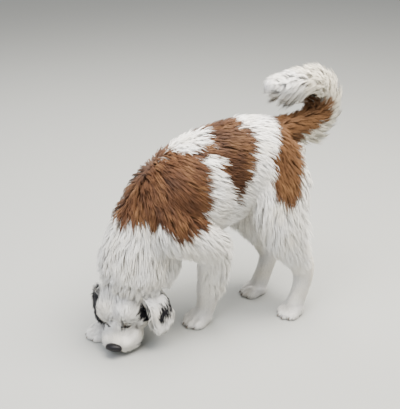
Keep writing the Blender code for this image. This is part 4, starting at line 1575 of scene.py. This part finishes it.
@dataclass(frozen=True)
class NoseFinish:
    """Moist black nose leather: fine pebbles about 1.2 mm across with a wet gloss."""

    def material(self) -> bpy.types.Material:
        """The nose's material."""
        material, tree, shader = new_material("moist_nose_leather")
        place = add_node(tree, "ShaderNodeTexCoord")
        pebbles = add_node(
            tree, "ShaderNodeTexVoronoi", {"feature": "SMOOTH_F1"},
            Vector=place.outputs["Object"], Scale=800.0,
        )
        # Painted shade: the leather is darker towards the grooves between the pebbles
        shade = add_node(tree, "ShaderNodeValToRGB", Fac=pebbles.outputs["Distance"])
        shade.color_ramp.elements[0].color = (*linear("1A181B"), 1)
        shade.color_ramp.elements[1].color = (*linear("09080A"), 1)
        bump = add_node(
            tree, "ShaderNodeBump", {"invert": True},
            Strength=0.6, Distance=0.0005, Height=pebbles.outputs["Distance"],
        )
        tree.links.new(shade.outputs["Color"], shader.inputs["Base Color"])
        tree.links.new(bump.outputs["Normal"], shader.inputs["Normal"])
        shader.inputs["Roughness"].default_value = 0.42
        shader.inputs["Specular IOR Level"].default_value = 0.22
        shader.inputs["Coat Weight"].default_value = 0.06
        shader.inputs["Coat Roughness"].default_value = 0.20
        return material


@dataclass(frozen=True)
class EyeFinish:
    """A wet dark brown eye: iris, black pupil and a thin white rim, under a clear gloss."""

    def material(self, side: Side) -> bpy.types.Material:
        """The material of one eye, drawn round the way that it looks.

        Args:
            side: the eye's side.

        Returns:
            The material.
        """
        material, tree, shader = new_material("wet_eye_" + side.name.lower())
        place = add_node(tree, "ShaderNodeTexCoord")
        base = eye_frame(side)
        middle = base.translation + MODEL_SHIFT
        way = (base.to_3x3() @ Vector((1, 0, 0))).normalized()
        from_middle = add_node(
            tree, "ShaderNodeVectorMath", {"operation": "SUBTRACT"},
            in_0=place.outputs["Object"], in_1=tuple(middle),
        )
        facing = add_node(
            tree, "ShaderNodeVectorMath", {"operation": "DOT_PRODUCT"},
            in_0=from_middle.outputs["Vector"], in_1=tuple(way),
        )
        share = add_node(
            tree, "ShaderNodeMapRange", {"clamp": True},
            Value=facing.outputs["Value"], From_Min=0.0080, From_Max=0.0130, To_Min=0.0, To_Max=1.0,
        )
        ramp = add_node(tree, "ShaderNodeValToRGB", Fac=share.outputs["Result"])
        # From the rim of the white to the pupil
        stops = (
            (0.0, "B9A89C"), (0.22, "8E7468"), (0.28, "1A0F0A"), (0.55, "2E1A10"), (0.78, "1E110B"),
            (0.84, "060506"),
        )
        elements = ramp.color_ramp.elements
        elements[0].position = stops[0][0]
        elements[0].color = (*linear(stops[0][1]), 1)
        elements[1].position = stops[-1][0]
        elements[1].color = (*linear(stops[-1][1]), 1)
        for position, code in stops[1:-1]:
            elements.new(position).color = (*linear(code), 1)
        tree.links.new(ramp.outputs["Color"], shader.inputs["Base Color"])
        shader.inputs["Roughness"].default_value = 0.08
        shader.inputs["Coat Weight"].default_value = 1.0
        shader.inputs["Coat Roughness"].default_value = 0.03
        return material


@dataclass(frozen=True)
class HornFinish:
    """Claw horn: brownish grey, layered along its length, with a dull sheen."""

    def material(self) -> bpy.types.Material:
        """The claws' material."""
        material, tree, shader = new_material("claw_horn")
        place = add_node(tree, "ShaderNodeTexCoord")
        layers = add_node(
            tree, "ShaderNodeTexNoise",
            Vector=place.outputs["Object"], Scale=260.0, Detail=3.0, Roughness=0.5,
        )
        ramp = add_node(tree, "ShaderNodeValToRGB", Fac=layers.outputs["Fac"])
        ramp.color_ramp.elements[0].color = (*linear("3A322C"), 1)
        ramp.color_ramp.elements[1].color = (*linear("8C7E70"), 1)
        tree.links.new(ramp.outputs["Color"], shader.inputs["Base Color"])
        shader.inputs["Roughness"].default_value = 0.42
        return material


@dataclass
class Nose:
    """The nose leather: broad, with two comma-shaped nostrils and the groove between them."""

    form: Form = NOSE

    def build(self) -> bpy.types.Object:
        """Shapes and dresses the nose."""
        obj = unit_ball("nose_leather", 96, 64)
        points = read_corners(obj.data)
        x, y, z = points.T.copy()
        side = np.abs(y)
        wide = 1.0 + 0.10 * smooth_step(z, -0.4, 0.5) - 0.16 * smooth_step(-z, 0.2, 0.9)
        hole = np.exp(-(((side - 0.46) / 0.15) ** 2 + ((z + 0.02) / 0.20) ** 2)) * (x > 0)
        slit_line = z + 0.20 + 0.55 * (side - 0.55)
        slit = np.exp(-((slit_line / 0.10) ** 2)) * smooth_step(side, 0.5, 0.62)
        slit = slit * (1 - smooth_step(side, 0.9, 1.0))
        groove = np.exp(-((y / 0.05) ** 2)) * smooth_step(-z, -0.35, 0.1) * (x > 0)
        flat = 0.14 * smooth_step(x, 0.5, 1.0)
        depth = 0.52 * hole + 0.20 * slit * (x > -0.2) + 0.12 * groove + flat
        points[:, 0] = x - depth * (x > 0)
        points[:, 1] = y * wide - np.sign(y) * 0.10 * slit
        sizes = np.array(self.form.size)
        local = points * sizes + np.array(self.form.at)
        base = np.array(head_frame())
        world = local @ base[:3, :3].T + base[:3, 3]
        obj.data.vertices.foreach_set("co", world.ravel())
        obj.data.update()
        shift_piece(obj)
        bpy.ops.object.shade_smooth()
        obj.data.materials.append(NoseFinish().material())
        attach(obj, BODY)
        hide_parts("nose")
        return obj


@dataclass
class EyePair:
    """The eyes, set deep and half shut, each between an upper and a lower lid with a dark rim."""

    radius: float = EYE.size[0]
    rim: tuple = linear("1C1716")
    skin: tuple = linear("D9CFC2")

    def eye(self, side: Side) -> bpy.types.Object:
        """One eyeball with its cornea.

        Args:
            side: the eye's side.

        Returns:
            The eyeball.
        """
        obj = unit_ball("eyeball_" + side.name.lower(), 64, 48)
        base = eye_frame(side)
        for vertex in obj.data.vertices:
            bulge = 1.0 + 0.06 * max(vertex.co.x - 0.80, 0.0) / 0.20
            vertex.co = base @ (vertex.co * self.radius * bulge)
        shift_piece(obj)
        bpy.ops.object.shade_smooth()
        obj.data.materials.append(EyeFinish().material(side))
        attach(obj, BODY)
        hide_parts("eye_" + side.name.lower())
        return obj

    def opening(self, across: np.ndarray) -> tuple[np.ndarray, np.ndarray]:
        """The heights of the upper and the lower edge of the opening.

        Args:
            across: places along the opening, -1 at one corner and 1 at the other.

        Returns:
            The two heights, in radians round the eye.
        """
        bow = np.clip(1 - across**2, 0, 1) ** 0.7
        return 0.34 * bow - 0.02, -0.30 * bow - 0.02

    def lids(self, side: Side) -> bpy.types.Object:
        """Both lids of one eye, each a closed shell of skin above or below its opening.

        Args:
            side: the eye's side.

        Returns:
            The lids.
        """
        base = eye_frame(side)
        bm = bmesh.new()
        columns = 56
        steps = 18
        spread = 1.15
        tones = []
        upper, lower = self.opening(np.linspace(-1, 1, columns))
        for edge, sign in ((upper, 1.0), (lower, -1.0)):
            sheets = []
            for inner in (True, False):
                rows = []
                for step in range(steps + 1):
                    t = step / steps
                    row = []
                    for column in range(columns):
                        pan = (column / (columns - 1) * 2 - 1) * spread
                        lift = edge[column] + sign * t * 0.85
                        rim = math.exp(-((t / 0.10) ** 2))
                        swell = math.sin(math.pi * min(t * 1.4, 1))
                        thick = 0.0004 if inner else 0.0022 + 0.0012 * rim + 0.0012 * swell
                        away = self.radius + thick
                        level = math.cos(lift)
                        way = Vector((math.cos(pan) * level, math.sin(pan) * level, math.sin(lift)))
                        row.append(bm.verts.new(base @ (way * away)))
                        dark = math.exp(-((t * 0.85 / 0.26) ** 2))
                        tones.append(np.array(self.rim) * dark + np.array(self.skin) * (1 - dark))
                    rows.append(row)
                sheets.append(rows)
            close_sheets(bm, sheets)
        bmesh.ops.recalc_face_normals(bm, faces=bm.faces)
        obj = link_mesh("lids_" + side.name.lower(), bm)
        write_colours(obj.data, np.array(tones))
        shift_piece(obj)
        obj.data.shade_smooth()
        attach(obj, BODY)
        return obj


def close_sheets(bm: bmesh.types.BMesh, sheets: list[list[list[bmesh.types.BMVert]]]) -> None:
    """Joins an inner and an outer grid of points into one closed shell.

    Args:
        bm: the bmesh that holds the points.
        sheets: the inner and the outer grid, row by row.
    """
    inner, outer = sheets
    rows, columns = len(inner), len(inner[0])
    for grid in sheets:
        for r in range(rows - 1):
            for c in range(columns - 1):
                bm.faces.new((grid[r][c], grid[r][c + 1], grid[r + 1][c + 1], grid[r + 1][c]))
    for r in range(rows - 1):
        for c in (0, columns - 1):
            bm.faces.new((inner[r][c], inner[r + 1][c], outer[r + 1][c], outer[r][c]))
    for c in range(columns - 1):
        for r in (0, rows - 1):
            bm.faces.new((inner[r][c], inner[r][c + 1], outer[r][c + 1], outer[r][c]))


@dataclass
class Claws:
    """The claws: a short curved cone at the tip of each toe."""

    length: float = 0.010
    thick: float = 0.0040
    steps: int = 6
    sides: int = 12

    def build(self) -> bpy.types.Object:
        """All sixteen claws as one piece."""
        bm = bmesh.new()
        for base in paw_frames():
            for across, ahead in TOES:
                rings = []
                for step in range(self.steps + 1):
                    t = step / self.steps
                    middle = Vector((-ahead - 0.026 - self.length * t, across, 0.0135 - 0.010 * t**1.6))
                    radius = self.thick * (1 - t) ** 0.6 + 0.0003
                    ring = []
                    for k in range(self.sides):
                        turned = 2 * math.pi * k / self.sides
                        offset = Vector((0, math.cos(turned) * radius * 0.8, math.sin(turned) * radius))
                        ring.append(bm.verts.new(base @ (middle + offset)))
                    rings.append(ring)
                for ring, after in zip(rings, rings[1:]):
                    for k in range(self.sides):
                        n = (k + 1) % self.sides
                        bm.faces.new((ring[k], ring[n], after[n], after[k]))
                bm.faces.new(rings[0])
                bm.faces.new(rings[-1])
        bmesh.ops.recalc_face_normals(bm, faces=bm.faces)
        obj = link_mesh("claws", bm)
        shift_piece(obj)
        obj.data.shade_smooth()
        obj.data.materials.append(HornFinish().material())
        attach(obj, BODY)
        return obj


@dataclass
class Studio:
    """A pale floor, soft light from above and a camera where the picture was taken from."""

    eye: Vector = field(default_factory=lambda: Vector((-1.2808, -2.1249, 1.563)))
    heading: float = math.radians(30.0)
    pitch: float = math.radians(25.0)
    lens: float = 74.8

    def floor(self) -> None:
        """The floor."""
        bpy.ops.object.select_all(action="DESELECT")
        bpy.ops.mesh.primitive_plane_add(size=14.0, location=(0, 0, 0))
        obj = bpy.context.active_object
        obj.name = "studio_floor"
        material, _, shader = new_material("pale_matt_floor")
        shader.inputs["Base Color"].default_value = (*linear("9FA09C"), 1)
        shader.inputs["Roughness"].default_value = 0.9
        obj.data.materials.append(material)

    def light(self, name: str, place: tuple, power: float, size: float, colour: str) -> None:
        """One soft square light that points at the dog.

        Args:
            name: what it is called.
            place: where it hangs.
            power: in watts.
            size: of its side.
            colour: an sRGB hex code.
        """
        data = bpy.data.lights.new(name, "AREA")
        data.energy = power
        data.size = size
        data.color = linear(colour)
        obj = add_object(name, data)
        obj.location = place
        way = Vector((0, 0, 0.35)) - Vector(place)
        obj.rotation_euler = way.to_track_quat("-Z", "Y").to_euler()

    def build(self) -> None:
        """Sets up floor, lights, surroundings and camera."""
        self.floor()
        self.light("key_light", (0.5, -0.7, 3.4), 560.0, 2.6, "FFF9F0")
        self.light("fill_light", (-2.4, -0.9, 2.6), 110.0, 2.2, "EEF3FF")
        self.light("back_light", (0.2, 2.3, 2.6), 60.0, 1.8, "FFFFFF")
        world = bpy.data.worlds.new("studio_world")
        world.use_nodes = True
        background = world.node_tree.nodes["Background"]
        background.inputs["Color"].default_value = (*linear("EEF1F6"), 1)
        background.inputs["Strength"].default_value = 0.62
        bpy.context.scene.world = world
        camera = bpy.data.cameras.new("camera")
        camera.lens = self.lens
        camera.sensor_width = 36.0
        camera.clip_start = 0.05
        camera.clip_end = 50.0
        obj = add_object("camera", camera)
        obj.location = self.eye
        level = math.cos(self.pitch)
        way = Vector((math.sin(self.heading) * level, math.cos(self.heading) * level, -math.sin(self.pitch)))
        obj.rotation_euler = way.to_track_quat("-Z", "Y").to_euler()
        bpy.context.scene.camera = obj


def join_hides(first: bpy.types.Object, second: bpy.types.Object) -> bpy.types.Object:
    """Joins two skins into one object.

    Args:
        first: the one that stays.
        second: the one whose points come after the first's.

    Returns:
        The first, which now holds both.
    """
    bpy.ops.object.select_all(action="DESELECT")
    second.select_set(True)
    first.select_set(True)
    bpy.context.view_layer.objects.active = first
    bpy.ops.object.join()
    return first


def paint_hide(obj: bpy.types.Object, hides: list[Hide], markings: Markings, flesh: Flesh) -> None:
    """Writes the markings on the skin: the same as the coat's, with dark lips.

    Args:
        obj: the joined skin.
        hides: the hides of its body and its head, in the order of its points.
        markings: the colours.
        flesh: where the mouth is.
    """
    colours = []
    for hide in hides:
        head = "head" in hide.limbs
        found = markings.colour(hide.points, np.full(len(hide.points), float(head)))
        if head:
            local = seen_from(head_frame(), hide.points)
            lips = np.exp(-((flesh.mouth_distance(local) / 0.0042) ** 2))[:, None]
            found = found * (1 - lips) + np.array(linear("1E1A1C")) * lips
        colours.append(found)
    write_colours(obj.data, np.concatenate(colours))


def bare_face(points: np.ndarray) -> np.ndarray:
    """Finds the roots on the head that stay bare: round the eyes, on the nose and on the lips.

    Args:
        points: the roots.

    Returns:
        Whether each stays bare.
    """
    local = seen_from(head_frame(), points)
    nose = np.linalg.norm((local - np.array(NOSE.at)) / (np.array(NOSE.size) * 1.04), axis=1) < 1
    bare = nose | (Flesh().mouth_distance(local) < 0.0022)
    for side in Side:
        seen = seen_from(eye_frame(side), points)
        spread = np.hypot(seen[:, 1] / EYE_BARE[0], (seen[:, 2] + EYE_BARE_DROP) / EYE_BARE[1])
        bare |= (spread < 1) & (seen[:, 0] > 0)
    return bare


def inside(tree: BVHTree, points: np.ndarray) -> np.ndarray:
    """Finds the points inside a closed skin, by how often a ray from each passes through it.

    Args:
        tree: the skin's search tree.
        points: the points.

    Returns:
        Whether each lies inside.
    """
    found = np.zeros(len(points), bool)
    ray = Vector((0.31, -0.22, 0.92)).normalized()
    for index, point in enumerate(points):
        place = Vector(point)
        if tree.find_nearest(place)[3] > FAR_FROM_SKIN:
            continue
        crossings = 0
        hit = tree.ray_cast(place, ray)[0]
        while hit is not None and crossings < MOST_HITS:
            crossings += 1
            hit = tree.ray_cast(hit + ray * RAY_STEP, ray)[0]
        found[index] = crossings % 2 == 1
    return found


def main() -> None:
    """Builds the dog and its studio."""
    logging.basicConfig(level=logging.INFO, format="%(name)s: %(message)s")
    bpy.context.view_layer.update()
    Studio().build()
    flesh = Flesh()
    markings = Markings()
    body, head = flesh.body(), flesh.head()
    hides = [Hide.read(body, flesh.body_limbs()), Hide.read(head, flesh.head_limbs())]
    log.info("skin: %d and %d triangles", len(hides[0].triangles), len(hides[1].triangles))
    skin = join_hides(body, head)
    skin.name = "skin"
    paint_hide(skin, hides, markings, flesh)
    shift_piece(skin)
    skin.data.shade_smooth()
    skin.data.materials.append(HideFinish().material())
    nodes = [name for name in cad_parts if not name.startswith("eye") and name != "nose"]
    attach(skin, BODY)
    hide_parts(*nodes)
    hair = HairFinish().material()
    slots = {limb: Slot.PATCHED for limb in hides[0].limbs}
    slots |= {"head": Slot.WHITE, "ear_left": Slot.EARS, "ear_right": Slot.EARS, "tail": Slot.WHITE}
    trees = [hide.tree() for hide in hides]
    coats = [
        Coat(hides[0], markings, lambda points: inside(trees[1], points)),
        Coat(hides[1], markings, lambda points: bare_face(points) | inside(trees[0], points)),
    ]
    for coat in coats:
        for piece in coat.grow(slots, "coat"):
            piece.data.materials.append(hair)
    pieces = [skin, Nose().build()]
    pair = EyePair()
    for side in Side:
        pieces.append(pair.eye(side))
        lids = pair.lids(side)
        lids.data.materials.append(skin.data.materials[0])
        pieces.append(lids)
    pieces.append(Claws().build())
    for piece in pieces:
        log.info("%s: %d faces", piece.name, len(piece.data.polygons))


if __name__ == "__main__":
    main()
